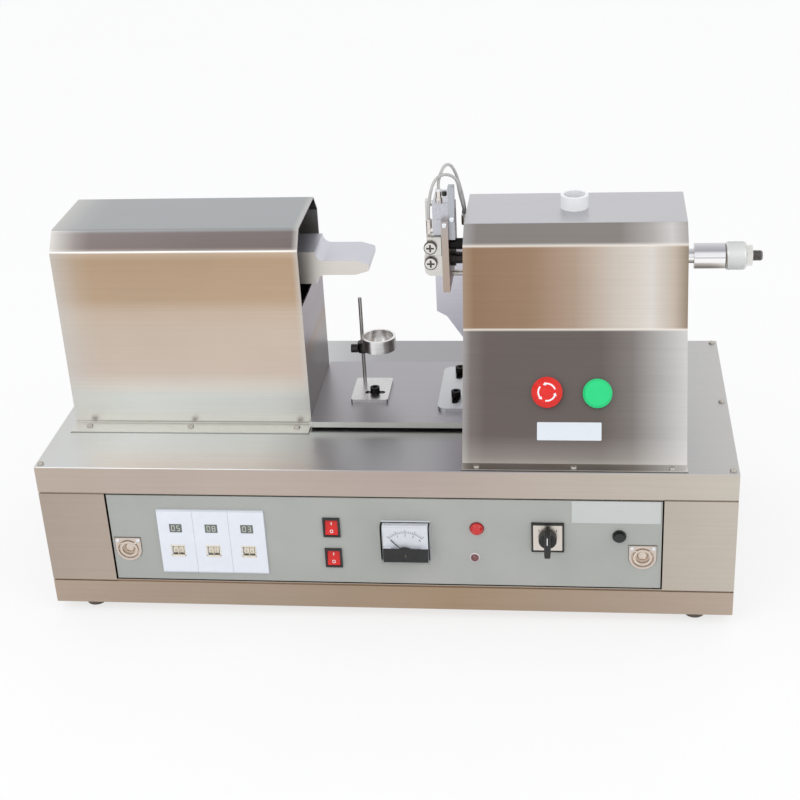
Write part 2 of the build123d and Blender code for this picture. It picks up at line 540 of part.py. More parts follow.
# Press frame inside the tower: slotted foot plate with two uprights
with BuildPart() as press_frame:
    with BuildSketch(Plane.XY.offset(bed_z)) as foot_outline:
        with BuildLine():
            Polyline((plate_x0, front_y + foot_plate_front),
                     (rear_x1 + rear_upright_t, front_y + foot_plate_front),
                     (rear_x1 + rear_upright_t, front_y + foot_plate_back),
                     (plate_x0, front_y + foot_plate_back), close=True)
        make_face()
        fillet(foot_outline.vertices().group_by(Axis.X)[0], foot_plate_r)
        for y in foot_screw_y:
            with Locations((foot_screw_x, y - foot_screw_off)):
                SlotOverall(foot_slot_len, 2 * slot_half, rotation=90, mode=Mode.SUBTRACT)
    extrude(amount=foot_plate_t)
    block((upright_x0, upright_x1), around(axis_y, upright_w / 2),
          (plate_z, axis_z + upright_over))
    block((rear_x0, rear_x1), around(axis_y, upright_w / 2),
          (plate_z, axis_z + rear_upright_over))
    bar((upright_x0 - over, axis_y, axis_z), right, ram_r + bore_gap, upright_t + 2 * over,
        Mode.SUBTRACT)
    bar((rear_x0 - over, axis_y, axis_z), right, spindle_r + bore_gap, rear_upright_t + 2 * over,
        Mode.SUBTRACT)
    for y, z, r in guides:
        bar((upright_x0 - over, axis_y + y, axis_z + z), right, r + bore_gap,
            upright_t + 2 * over, Mode.SUBTRACT)
save(press_frame, "press_frame")

# Black socket head screws: two in the press frame's slots, one in the holder base's slot
with BuildPart() as clamp_screws:
    seats = [(foot_screw_x, y, plate_z) for y in foot_screw_y]
    seats.append((base_screw_x, base_screw_y, holder_z + holder_base_t + slide_gap))
    for x, y, seat in seats:
        bar((x, y, seat), up, clamp_head_r, clamp_head_h)
        bar((x, y, seat + clamp_head_h), down, clamp_socket_r, clamp_head_h / 2, Mode.SUBTRACT)
        bar((x, y, seat), down, clamp_screw_r, seat - bed_z)
save(clamp_screws, "clamp_screws")

# Press cylinder, with the bore that the ram's piston runs in
with BuildPart() as press_cylinder:
    block((upright_x1, cylinder_x1), around(axis_y, cylinder_side / 2),
          around(axis_z, cylinder_side / 2))
    bar((upright_x1 + cylinder_wall, axis_y, axis_z), right, piston_r + bore_gap,
        cylinder_len - 2 * cylinder_wall, Mode.SUBTRACT)
    bar((upright_x1 - over, axis_y, axis_z), right, ram_r + bore_gap, cylinder_wall + 2 * over,
        Mode.SUBTRACT)
    bar((cylinder_x1 - cylinder_wall - over, axis_y, axis_z), right, ram_tail_r + bore_gap,
        cylinder_wall + 2 * over, Mode.SUBTRACT)
save(press_cylinder, "press_cylinder")

# Guard plate behind the press head, folded onto the tower's left wall
with BuildPart() as guard_plate:
    guard_front = front_y + guard_y
    guard_x1 = tower_x0 - fit_gap
    neck_x = cab_x + guard_neck_x
    with BuildSketch(Plane.XZ.offset(-guard_front - sheet)):
        with BuildLine():
            Polyline((cab_x + guard_x, axis_z + guard_nose_high),
                     (cab_x + guard_x, axis_z + guard_nose_low),
                     (cab_x + guard_x + guard_nose, axis_z + guard_chin),
                     (cab_x + guard_heel_x, axis_z + guard_low), (guard_x1, axis_z + guard_low),
                     (guard_x1, axis_z + guard_fold_high),
                     (neck_x + guard_neck_w, axis_z + guard_fold_high),
                     (neck_x + guard_neck_w, axis_z + guard_high),
                     (neck_x, axis_z + guard_high), (neck_x, axis_z + guard_neck_low), close=True)
        make_face()
    extrude(amount=sheet)
    block((guard_x1 - sheet, tower_x0), (guard_front - guard_fold, guard_front),
          (axis_z + guard_low, axis_z + guard_fold_high))
save(guard_plate, "guard_plate")

# Stroke adjuster: neck and barrel, counterbored for the thimble's spigot
with BuildPart() as adjuster_barrel:
    bar((rear_x1, axis_y, axis_z), right, neck_r, barrel_x0 - rear_x1)
    bar((barrel_x0, axis_y, axis_z), right, barrel_r, barrel_len)
    bar((rear_x1 - over, axis_y, axis_z), right, spindle_r + bore_gap, thimble_x0 - rear_x1,
        Mode.SUBTRACT)
    bar((barrel_x0 + barrel_len, axis_y, axis_z), left, spigot_r + bore_gap,
        spigot_len + fit_gap, Mode.SUBTRACT)
save(adjuster_barrel, "adjuster_barrel")

# Thimble that turns on the barrel and drives the spindle's thread
with BuildPart() as adjuster_thimble:
    with Locations(Plane(origin=(thimble_x0, axis_y, axis_z), z_dir=right)):
        Cylinder(thimble_r, thimble_len, align=(Align.CENTER, Align.CENTER, Align.MIN))
    fillet(adjuster_thimble.edges().filter_by(GeomType.CIRCLE), thimble_round)
    bar((thimble_x0 + thimble_round, axis_y, axis_z), left, spigot_r,
        thimble_round + fit_gap + spigot_len)
    bar((thimble_x0 - 2 * spigot_len, axis_y, axis_z), right, spindle_r + bore_gap,
        thimble_len + 3 * spigot_len, Mode.SUBTRACT)
save(adjuster_thimble, "adjuster_thimble")

# Threaded spindle through the adjuster
with BuildPart() as adjuster_spindle:
    spindle_x0, spindle_x1 = rear_x0 - spindle_inside, nut_x0 + nut_t + spindle_past_nut
    bar((spindle_x0, axis_y, axis_z), right, spindle_r, spindle_x1 - spindle_x0)
    chamfer(adjuster_spindle.edges().filter_by(GeomType.CIRCLE), spindle_tip_r)
save(adjuster_spindle, "adjuster_spindle")

# Lock nut on the spindle
with BuildPart() as lock_nut:
    with BuildSketch(Plane(origin=(nut_x0, axis_y, axis_z), z_dir=right)):
        RegularPolygon(nut_across / 2, 6, major_radius=False)
        Circle(spindle_r, mode=Mode.SUBTRACT)
    extrude(amount=nut_t)
save(lock_nut, "lock_nut")

# Carrier plate of the press head, with the taller plate bolted behind it
with BuildPart() as carrier_plate:
    block((head_x, rod_x), around(axis_y, carrier_w / 2),
          (axis_z + carrier_low, axis_z + carrier_high))
    block((rod_x, rod_x + rear_plate_t), around(axis_y + rear_plate_dy, rear_plate_w / 2),
          (axis_z + rear_plate_low, axis_z + rear_plate_high))
save(carrier_plate, "carrier_plate")

# Anvil bar that presses the tube end against the horn
with BuildPart() as anvil_bar:
    anvil_x0 = head_x - anvil_len
    block((anvil_x0, head_x), around(axis_y, horn_w / 2),
          (axis_z + anvil_low, axis_z + anvil_high))
    low_edge = anvil_bar.edges().filter_by(Axis.Y).group_by(Axis.Z)[0].sort_by(Axis.X)[0]
    fillet(low_edge, anvil_round)
save(anvil_bar, "anvil_bar")

# Screws in the anvil bar's two ends
with BuildPart() as anvil_screws:
    for side, out in ((-1, forward), (1, back)):
        bar((head_x - block_screw_in, axis_y + side * horn_w / 2, axis_z + anvil_screw_z),
            out, block_screw_r, block_screw_t)
save(anvil_screws, "anvil_screws")

# Ram with its piston and tail, and two guide rods, all carried by the head
with BuildPart() as ram_rods:
    bar((rod_x, axis_y, axis_z), right, gland_r, gland_t)
    bar((rod_x, axis_y, axis_z), right, ram_r, piston_x - rod_x)
    bar((piston_x, axis_y, axis_z), right, piston_r, piston_t)
    bar((piston_x + piston_t, axis_y, axis_z), right, ram_tail_r, tail_x - piston_x - piston_t)
    guide_len = upright_x1 + head_travel + upright_play - rod_x
    for y, z, r in guides:
        bar((rod_x, axis_y + y, axis_z + z), right, r, guide_len)
save(ram_rods, "ram_rods")

# Small cylinder on top of the carrier that drives the knife, with its cheek block
with BuildPart() as cutter_cylinder:
    cutter_x0, cheek_x0 = rod_x - cutter_len, head_x - cheek_len
    cutter_z0 = axis_z + carrier_high
    cutter_rod_y, cutter_rod_z = axis_y + cutter_rod_dy, cutter_z0 + cutter_h / 2
    rod_depth = knife_travel + cutter_rod_stay
    block((cutter_x0, rod_x), around(axis_y, cutter_w / 2), (cutter_z0, cutter_z0 + cutter_h))
    block((cheek_x0, head_x), around(axis_y + cheek_dy, cheek_w / 2),
          (axis_z + cheek_low, cutter_z0))
    bar((cutter_x0 - over, cutter_rod_y, cutter_rod_z), right, cutter_rod_r + bore_gap,
        over + rod_depth + fit_gap, Mode.SUBTRACT)
save(cutter_cylinder, "cutter_cylinder")

# Fittings on the head: an elbow on the cheek and a straight one on the cylinder
with BuildPart() as hose_fittings:
    x, y, z = head_x + elbow_dx, axis_y + elbow_dy, cutter_z0 - elbow_below
    bar((x, y, z), down, fitting_r, fitting_elbow_h)
    bar((cheek_x0, y, z - fitting_elbow_h + fitting_r), left, fitting_r, cheek_x0 - x)
    x, y, z = head_x + straight_dx, axis_y + straight_dy, cutter_z0 + cutter_h
    bar((x, y, z), up, fitting_r, straight_len)
    bar((x, y, z), up, fitting_hex_r, fitting_hex_h)
save(hose_fittings, "hose_fittings")

# Knife carriage with its clamp screws, and the yoke that joins it to the cylinder's rod
with BuildPart() as knife_carriage:
    carriage_x0, carriage_x1 = anvil_x0 + yoke_t, head_x - carriage_back
    knife_z = axis_z + anvil_high + slide_gap
    carriage_z = knife_z + blade_t
    block((carriage_x0, carriage_x1), around(axis_y, horn_w / 2),
          (carriage_z, carriage_z + carriage_h))
    block((anvil_x0, carriage_x0), around(cutter_rod_y, yoke_w / 2),
          (carriage_z + yoke_t, cutter_rod_z + yoke_w / 2))
    bar((carriage_x0, cutter_rod_y, cutter_rod_z), right, cutter_rod_r,
        cutter_x0 + rod_depth - carriage_x0)
    for side, out in ((-1, forward), (1, back)):
        bar((head_x - block_screw_in, axis_y + side * horn_w / 2, axis_z + knife_screw_z),
            out, block_screw_r, block_screw_t)
save(knife_carriage, "knife_carriage")

# Knife blade under the carriage, ground to an edge towards the horn
with BuildPart() as knife_blade:
    edge_x = anvil_x0 + knife_back
    with BuildSketch(Plane.XZ.offset(-axis_y - horn_w / 2)):
        with BuildLine():
            Polyline((edge_x, carriage_z), (carriage_x1, carriage_z), (carriage_x1, knife_z),
                     (edge_x + blade_t, knife_z), close=True)
        make_face()
    extrude(amount=horn_w)
save(knife_blade, "knife_blade")

# Tube holder: slotted base plate
with BuildPart() as post_base:
    base_mid_x = cab_x + (holder_base_x0 + holder_base_x1) / 2
    base_mid_y = front_y + (holder_base_y0 + holder_base_y1) / 2
    with BuildSketch(Plane.XY.offset(holder_z)):
        with Locations((base_mid_x, base_mid_y)):
            RectangleRounded(holder_base_x1 - holder_base_x0, holder_base_y1 - holder_base_y0,
                             holder_base_r)
        with Locations((base_screw_x, base_screw_y)):
            SlotOverall(base_slot_len, 2 * slot_half, mode=Mode.SUBTRACT)
    extrude(amount=holder_base_t)
save(post_base, "post_base")

# Post of the tube holder
with BuildPart() as post:
    bar((cab_x + post_x, front_y + post_y, holder_z + holder_base_t), up, post_r,
        post_top - holder_base_t)
save(post, "post")

# Holder arm: a collar on the post and a flat arm under the cup
with BuildPart() as holder_arm:
    arm_z0 = bed_z + arm_z
    collar_z = arm_z0 + arm_t + collar_over - collar_h
    with BuildSketch(Plane.XY.offset(arm_z0)):
        with Locations((cab_x + post_x, front_y + post_y)):
            Circle(arm_post_r)
        with Locations((cab_x + cup_x, axis_y)):
            Circle(arm_cup_r)
        make_hull()
    extrude(amount=arm_t)
    bar((cab_x + post_x, front_y + post_y, collar_z), up, collar_r, collar_h)
    bar((cab_x + post_x, front_y + post_y, collar_z - over), up, post_r + bore_gap,
        collar_h + 2 * over, Mode.SUBTRACT)
    bar((cab_x + cup_x, axis_y, arm_z0 - over), up, cup_pin_r + bore_gap, arm_t + 2 * over,
        Mode.SUBTRACT)
    knob_z = collar_z + (collar_h - collar_over - arm_t) / 2
    bar((cab_x + post_x, front_y + post_y, knob_z), left, knob_shank_r + bore_gap,
        collar_r + over, Mode.SUBTRACT)
save(holder_arm, "holder_arm")

# Thumb knob that clamps the collar on the post
with BuildPart() as clamp_knob:
    shank_x = cab_x + post_x - post_r - fit_gap
    knob_x = cab_x + post_x - collar_r - fit_gap
    bar((shank_x, front_y + post_y, knob_z), left, knob_shank_r, shank_x - knob_x)
    bar((knob_x, front_y + post_y, knob_z), left, knob_r, knob_len)
save(clamp_knob, "clamp_knob")

# Cup that holds the tube's cap, turning on a pin in the arm
with BuildPart() as tube_cup:
    cup_z = arm_z0 + arm_t + slide_gap
    bar((cab_x + cup_x, axis_y, cup_z), up, cup_r, cup_h)
    bar((cab_x + cup_x, axis_y, cup_z + cup_floor), up, cup_bore_r, cup_h, Mode.SUBTRACT)
    bar((cab_x + cup_x, axis_y, cup_z), down, cup_pin_r, arm_t + slide_gap + cup_floor)
save(tube_cup, "tube_cup")

# Spare cup ring parked over a boss on the tower
with BuildPart() as spare_cup:
    bar((cab_x + spare_x, front_y + spare_y, deck_z + tower_h), up, spare_r, spare_h)
    bar((cab_x + spare_x, front_y + spare_y, deck_z + tower_h - over), up, spare_bore_r,
        spare_h + 2 * over, Mode.SUBTRACT)
save(spare_cup, "spare_cup")

# Collars, bodies, nuts and contact blocks of the two push buttons
with BuildPart() as button_collars:
    for point, travel in ((stop_point, stop_travel), (start_point, start_travel)):
        bar(point, slope_out, collar_out_r, collar_out)
        bar(on_slope(point, collar_out), slope_in, button_body_r, collar_out + button_body_len)
        bar(on_slope(point, -sheet), slope_in, button_nut_r, button_nut_t)
        with Locations(Plane(origin=on_slope(point, -button_body_len), z_dir=slope_in)):
            Box(contact_w, contact_w, contact_len,
                align=(Align.CENTER, Align.CENTER, Align.MIN))
        bar(on_slope(point, collar_out + over), slope_in, stem_r + bore_gap,
            collar_out + over + stem_inside + travel + fit_gap, Mode.SUBTRACT)
save(button_collars, "button_collars")

# Stem of the emergency stop
with BuildPart() as stop_stem:
    stop_seat = collar_out + stop_neck
    bar(on_slope(stop_point, -stem_inside), slope_out, stem_r, stem_inside + stop_seat)
    bar(on_slope(stop_point, stop_seat), slope_out, stop_spigot_r, stop_spigot_h)
save(stop_stem, "stop_stem")

# Mushroom head of the emergency stop, which twists on the stem to release
with BuildPart() as stop_head:
    head_seat = stop_seat + slide_gap
    bar(on_slope(stop_point, head_seat), slope_out, stop_r, stop_head_t - stop_dome)
    with Locations(Plane(origin=on_slope(stop_point, head_seat + stop_head_t - stop_dome),
                         z_dir=slope_out)):
        Cone(stop_r, stop_r - stop_dome, stop_dome,
             align=(Align.CENTER, Align.CENTER, Align.MIN))
    bar(on_slope(stop_point, head_seat - over), slope_out, stop_spigot_r + bore_gap,
        stop_spigot_h + over + fit_gap, Mode.SUBTRACT)
save(stop_head, "stop_head")

# Start button, cap and stem in one
with BuildPart() as start_button:
    start_seat = collar_out + start_neck
    bar(on_slope(start_point, -stem_inside), slope_out, stem_r, stem_inside + start_seat)
    bar(on_slope(start_point, start_seat), slope_out, start_r, start_head_t - start_dome)
    with Locations(Plane(origin=on_slope(start_point, start_seat + start_head_t - start_dome),
                         z_dir=slope_out)):
        Cone(start_r, start_r - start_dome, start_dome,
             align=(Align.CENTER, Align.CENTER, Align.MIN))
save(start_button, "start_button")

# Air fittings: the inlet at the back and two elbows on the tower's left wall
with BuildPart() as air_fittings:
    x, z = cab_x + air_x, cab_z + air_z
    bar((x, back_y - air_inside, z), back, air_body_r, air_inside + inlet_out)
    bar((x, back_y, z), back, air_flange_r, air_flange_t)
    bar((x, back_y + inlet_out, z), forward, air_bore_r, air_bore_len, Mode.SUBTRACT)
    for y, z in elbow_points:
        bar((tower_x0 + 2 * elbow_r, y, z), left, elbow_r, 2 * elbow_r + elbow_out)
        bar((tower_x0 - elbow_out, y, z - elbow_low), up, elbow_r, elbow_low + elbow_high)
save(air_fittings, "air_fittings")

# Mains inlet: flanged socket with three flat pins
with BuildPart() as mains_inlet:
    x, z = cab_x + mains_x, cab_z + mains_z
    block(around(x, mains_w / 2), (back_y, back_y + mains_flange_t), around(z, mains_h / 2))
    block(around(x, mains_w / 2 - mains_lip), (back_y - mains_body_len, back_y),
          around(z, mains_h / 2 - mains_lip))
    block(around(x, mains_well_w / 2), (back_y + mains_flange_t - mains_well, back_y + sheet * 2),
          around(z, mains_well_h / 2), Mode.SUBTRACT)
    for side, rise in ((-1, -1), (0, 1), (1, -1)):
        block(around(x + side * mains_pin_dx, mains_pin_w / 2),
              (back_y - mains_well, back_y - mains_pin_back),
              around(z + rise * mains_pin_dz, mains_pin_h / 2))
save(mains_inlet, "mains_inlet")


def bend_radii(points):
    """Each arc takes 0.45 of its shorter run, divided by the tangent of half the turn."""
    radii = []
    for before, corner, after in zip(points, points[1:], points[2:]):
        inward, outward = Vector(*corner) - Vector(*before), Vector(*after) - Vector(*corner)
        half_turn = math.radians(inward.get_angle(outward) / 2)
        radii.append(0.45 * min(inward.length, outward.length) / math.tan(half_turn))
    return radii


# Routes of the two air hoses, from the elbows on the tower to the fittings on the head
outer_route = [cabinet_point(*point) for point in (
    (103.5, 236.5, 475.0), (103.5, 236.5, 483.0), (102.0, 231.5, 495.5), (100.0, 226.5, 509.5),
    (97.0, 221.0, 524.5), (93.0, 215.0, 539.5), (88.0, 209.5, 548.5), (82.0, 204.0, 548.5),
    (77.5, 198.5, 541.5), (74.8, 193.0, 533.0), (74.0, 190.0, 526.0), (74.0, 190.0, 518.0))]
inner_route = [cabinet_point(*point) for point in (
    (103.5, 226.0, 472.0), (103.5, 226.0, 479.0), (102.2, 221.5, 489.0), (100.8, 216.0, 499.0),
    (99.4, 211.0, 509.0), (98.6, 207.5, 518.5), (97.2, 204.0, 528.0), (92.5, 201.0, 534.5),
    (86.5, 196.5, 538.5), (80.5, 191.5, 540.0), (74.5, 187.0, 538.5), (69.5, 184.2, 533.0),
    (65.8, 183.2, 524.5), (63.0, 183.5, 512.0), (61.0, 184.0, 500.0), (60.5, 184.0, 490.0),
    (60.5, 184.0, 480.0))]

# Outer hose
with BuildPart() as hose_outer:
    with BuildLine():
        FilletPolyline(*outer_route, radius=bend_radii(outer_route))
    with BuildSketch(Plane(origin=outer_route[0],
                           z_dir=Vector(*outer_route[1]) - Vector(*outer_route[0]))):
        Circle(hose_r)
    sweep()
save(hose_outer, "hose_outer")

# Inner hose
with BuildPart() as hose_inner:
    with BuildLine():
        FilletPolyline(*inner_route, radius=bend_radii(inner_route))
    with BuildSketch(Plane(origin=inner_route[0],
                           z_dir=Vector(*inner_route[1]) - Vector(*inner_route[0]))):
        Circle(hose_r)
    sweep()
save(hose_inner, "hose_inner")
for route, hose in ((outer_route, hose_outer), (inner_route, hose_inner)):
    radii = bend_radii(route)
    print("hose radii", [round(radius, 1) for radius in radii],
          "length", round(hose.part.volume / (math.pi * hose_r ** 2), 1))

# Places on the control panel
panel_front = front_y + panel_inset
panel_back = panel_front + panel_t
timer_xs = [opening_x0 + timer_in_left + step * timer_pitch for step in (-1, 0, 1)]
timer_mid_z = cab_z + timer_z
rocker_zs = (cab_z + rocker_z0, cab_z + rocker_z0 - rocker_pitch)
pull_points = [(x, cab_z + pull_z) for x in (opening_x0 + pull_in_left,
                                             opening_x1 - pull_in_right)]

# Control panel with a hole for every device
with BuildPart() as control_panel:
    block((opening_x0 + panel_gap, opening_x1 - panel_gap), (panel_front, panel_back),
          (opening_z0 + panel_gap, opening_z1 - panel_gap))
    through = (panel_front - over, panel_back + over)
    for x in timer_xs:
        block(around(x, timer_body_w / 2 + fit_gap), through,
              around(timer_mid_z, timer_body_h / 2 + fit_gap), Mode.SUBTRACT)
    for z in rocker_zs:
        block(around(cab_x + rocker_x, rocker_body_w / 2 + fit_gap), through,
              around(z, rocker_body_h / 2 + fit_gap), Mode.SUBTRACT)
    holes = [(cab_x + x, cab_z + z, r) for x, z, r in (
        (meter_x, meter_z, meter_body_r), (lamp_x, lamp_z, lamp_body_r),
        (led_x, led_z, led_body_r), (cam_x, cam_z, cam_neck_r), (test_x, test_z, test_body_r))]
    holes += [(x, z, dish_r + dish_wall) for x, z in pull_points]
    for x, z, r in holes:
        bar((x, panel_front - over, z), back, r + hole_gap, panel_t + 2 * over, Mode.SUBTRACT)
save(control_panel, "control_panel")

# Drawer tray behind the panel, open on top, notched for the two pull dishes
with BuildPart() as drawer_tray:
    tray_x0, tray_x1 = tray_x - tray_w / 2, tray_x + tray_w / 2
    block((tray_x0, tray_x1), (panel_back, panel_back + tray_d), (tray_z, tray_z + tray_h))
    block((tray_x0 + tray_t, tray_x1 - tray_t), (panel_back + tray_t, panel_back + tray_d - tray_t),
          (tray_z + tray_t, tray_z + tray_h), Mode.SUBTRACT)
    block((tray_x0 + tray_flange, tray_x1 - tray_flange),
          (panel_back - over, panel_back + 2 * tray_t),
          (tray_z + tray_t, tray_z + tray_h), Mode.SUBTRACT)
    block((tray_x0 - over, tray_x1 + over),
          (panel_back + tray_d - 2 * tray_t, panel_back + tray_d),
          (tray_z + tray_back_h, tray_z + tray_h), Mode.SUBTRACT)
    for x, z in pull_points:
        block(around(x, dish_r + 2 * dish_notch),
              (panel_back - over, panel_back + dish_notch),
              around(z, dish_r + 2 * dish_wall), Mode.SUBTRACT)
save(drawer_tray, "drawer_tray")

# Generator unit on the tray: board on posts, transformer with its coil, finned heat sink
with BuildPart() as generator_unit:
    floor_z = tray_z + tray_t
    x, y = cab_x + board_x, front_y + board_y
    block(around(x, board_w / 2), around(y, board_d / 2),
          (floor_z + board_post, floor_z + board_post + board_t))
    with Locations((x, y, floor_z)):
        with GridLocations(board_w - 2 * board_post_in, board_d - 2 * board_post_in, 2, 2):
            Cylinder(board_post_r, board_post, align=(Align.CENTER, Align.CENTER, Align.MIN))
    x = cab_x + transformer_x
    block(around(x, transformer_w / 2), around(y, transformer_d / 2),
          (floor_z, floor_z + transformer_h))
    block(around(x, coil_w / 2), around(y, coil_d / 2), around(floor_z + transformer_h / 2,
                                                              coil_h / 2))
    x = cab_x + sink_x
    block(around(x, sink_w / 2), around(y, sink_d / 2), (floor_z, floor_z + sink_base))
    with Locations((x, y, floor_z)):
        with GridLocations((sink_w - sink_fin_t) / (sink_fins - 1), 1, sink_fins, 1):
            Box(sink_fin_t, sink_d, sink_h, align=(Align.CENTER, Align.CENTER, Align.MIN))
save(generator_unit, "generator_unit")

# Places inside one timer: its two digit wheels stand just behind the window
wheel_z = timer_mid_z + wheel_window_z
wheel_y = panel_front - timer_bezel + wheel_lip + wheel_r
wheel_room_x = wheel_w + wheel_gap + wheel_room

# Three timers with display recess, window and a well for the digit wheels
with BuildPart() as timer_cases:
    face_y = panel_front - timer_bezel
    for x in timer_xs:
        block(around(x, (timer_w - fit_gap) / 2), (face_y, panel_front),
              around(timer_mid_z, timer_h / 2))
        block(around(x, timer_body_w / 2), (panel_front, panel_front + timer_depth),
              around(timer_mid_z, timer_body_h / 2))
        block(around(x, display_w / 2), (face_y, face_y + display_deep),
              around(timer_mid_z + display_z, display_h / 2), Mode.SUBTRACT)
        block(around(x, wheel_window_w / 2), (face_y, face_y + 2 * wheel_lip),
              around(wheel_z, wheel_window_h / 2), Mode.SUBTRACT)
        block(around(x, wheel_room_x), (face_y + wheel_lip, wheel_y + wheel_r + wheel_room),
              around(wheel_z, wheel_r + wheel_room), Mode.SUBTRACT)
        bar((x - wheel_room_x - wheel_pin_in, wheel_y, wheel_z), right, wheel_pin_r + bore_gap,
            2 * (wheel_room_x + wheel_pin_in), Mode.SUBTRACT)
save(timer_cases, "timer_cases")


def digit_wheels(x):
    """Two digit wheels of one timer on their pin."""
    pin_half = wheel_room_x + wheel_pin_in - fit_gap
    bar((x - pin_half, wheel_y, wheel_z), right, wheel_pin_r, 2 * pin_half)
    for start in (x - wheel_gap - wheel_w, x + wheel_gap):
        bar((start, wheel_y, wheel_z), right, wheel_r, wheel_w)


with BuildPart() as wheels_left:
    digit_wheels(timer_xs[0])
save(wheels_left, "wheels_left")

with BuildPart() as wheels_middle:
    digit_wheels(timer_xs[1])
save(wheels_middle, "wheels_middle")

with BuildPart() as wheels_right:
    digit_wheels(timer_xs[2])
save(wheels_right, "wheels_right")

# Meter: body, flange, dial block and the black mask over the needle's hub
with BuildPart() as meter_case:
    mx, mz = cab_x + meter_x, cab_z + meter_z
    cover_front = panel_front - meter_out
    flange_y = panel_front - meter_flange_t
    dial_y = flange_y - dial_t
    mask_y = cover_front + meter_wall + fit_gap
    mask_z0 = mz - meter_h / 2 + meter_wall + fit_gap
    mask_z1 = mz - meter_h / 2 + meter_low_h
    inside_w = meter_w / 2 - meter_wall - fit_gap
    block(around(mx, meter_w / 2), (flange_y, panel_front), around(mz, meter_h / 2))
    bar((mx, panel_front, mz), back, meter_body_r, meter_body_len)
    block(around(mx, inside_w), (mask_y, flange_y), (mask_z0, mask_z1))
    block(around(mx, inside_w), (dial_y, flange_y),
          (mask_z1, mz + meter_h / 2 - meter_wall - fit_gap))
    needle_axis_z = mz + needle_z
    block(around(mx, mask_well_w / 2), (mask_y + mask_t, dial_y),
          (needle_axis_z - needle_tail - over, mask_z1 + over), Mode.SUBTRACT)
    bar((mx, dial_y - over, needle_axis_z), back, needle_pin_r + bore_gap,
        over + needle_pin_in + fit_gap, Mode.SUBTRACT)
save(meter_case, "meter_case")

# Meter needle with its hub and pin, resting at the left end of the scale
with BuildPart() as meter_needle:
    hub_y = dial_y - fit_gap
    swing = math.radians(needle_rest)
    pointer = (-math.sin(swing), 0, math.cos(swing))
    pointer_start = (mx, hub_y - needle_hub_t / 2, needle_axis_z)
    bar((mx, hub_y, needle_axis_z), forward, needle_hub_r, needle_hub_t)
    bar((mx, hub_y, needle_axis_z), back, needle_pin_r, needle_pin_in)
    bar(pointer_start, pointer, needle_r, needle_len)
    bar(pointer_start, tuple(-step for step in pointer), needle_tail_r, needle_tail)
save(meter_needle, "meter_needle")

# Clear cover of the meter
with BuildPart() as meter_cover:
    block(around(mx, meter_w / 2), (cover_front, flange_y), around(mz, meter_h / 2))
    block(around(mx, meter_w / 2 - meter_wall), (cover_front + meter_wall, flange_y + over),
          around(mz, meter_h / 2 - meter_wall), Mode.SUBTRACT)
save(meter_cover, "meter_cover")

# Rocker bezels and bodies, cam switch plate and body, test button collar and body
with BuildPart() as panel_bezels:
    rocker_y = panel_front + rocker_pivot
    room_x = rocker_w / 2 + fit_gap
    x = cab_x + rocker_x
    for z in rocker_zs:
        block(around(x, rocker_bezel_w / 2), (panel_front - rocker_bezel_t, panel_front),
              around(z, rocker_bezel_h / 2))
        block(around(x, rocker_body_w / 2), (panel_front, panel_front + rocker_body_len),
              around(z, rocker_body_h / 2))
        block(around(x, room_x),
              (panel_front - rocker_bezel_t - over, panel_front + rocker_well),
              around(z, rocker_half + rocker_room), Mode.SUBTRACT)
        bar((x - room_x - rocker_pin_in, rocker_y, z), right, rocker_pin_r + bore_gap,
            2 * (room_x + rocker_pin_in), Mode.SUBTRACT)
    x, z = cab_x + cam_x, cab_z + cam_z
    block(around(x, cam_w / 2), (panel_front - cam_t, panel_front), around(z, cam_h / 2))
    bar((x, panel_front, z), back, cam_neck_r, panel_t)
    block(around(x, cam_body_w / 2), (panel_back, panel_back + cam_body_len),
          around(z, cam_body_w / 2))
    bar((x, panel_front - cam_t - over, z), back, cam_shaft_r + bore_gap,
        cam_t + over + cam_shaft_in + fit_gap, Mode.SUBTRACT)
    x, z = cab_x + test_x, cab_z + test_z
    bar((x, panel_front, z), forward, test_collar_r, test_collar_out)
    bar((x, panel_front, z), back, test_body_r, test_body_len)
    bar((x, panel_front - test_collar_out - over, z), back, test_r + bore_gap,
        test_collar_out + over + test_inside + test_travel + fit_gap, Mode.SUBTRACT)
save(panel_bezels, "panel_bezels")


def rocker(z):
    """A rocker with a shallow V front, tilted about its pin so the lower end stands out."""
    tilt = math.radians(rocker_tilt)
    outward = (0, -math.cos(tilt), math.sin(tilt))
    start = (cab_x + rocker_x - rocker_w / 2, rocker_y, z)
    pin_half = rocker_w / 2 + rocker_pin_in
    with BuildPart() as piece:
        with BuildSketch(Plane(origin=start, x_dir=outward, z_dir=right)):
            with BuildLine():
                Polyline((-rocker_back, -rocker_back_half), (rocker_front, -rocker_half),
                         (rocker_dip, 0), (rocker_front, rocker_half),
                         (-rocker_back, rocker_back_half), close=True)
            make_face()
        extrude(amount=rocker_w)
        bar((cab_x + rocker_x - pin_half, rocker_y, z), right, rocker_pin_r, 2 * pin_half)
    return piece


rocker_upper = rocker(rocker_zs[0])
save(rocker_upper, "rocker_upper")

rocker_lower = rocker(rocker_zs[1])
save(rocker_lower, "rocker_lower")

# Cam switch knob: hub, grip fin and shaft
with BuildPart() as cam_knob:
    x, z = cab_x + cam_x, cab_z + cam_z
    knob_y = panel_front - cam_t - slide_gap
    fin_y = panel_front - cam_t - cam_hub_t
    bar((x, knob_y, z), forward, cam_hub_r, knob_y - fin_y)
    block(around(x, cam_fin_w / 2), (fin_y - cam_fin_t, fin_y), around(z, cam_fin_len / 2))
    bar((x, knob_y, z), back, cam_shaft_r, cam_shaft_in)
save(cam_knob, "cam_knob")

# Round test button
with BuildPart() as test_button:
    bar((cab_x + test_x, panel_front - test_out, cab_z + test_z), back, test_r,
        test_out + test_inside)
save(test_button, "test_button")

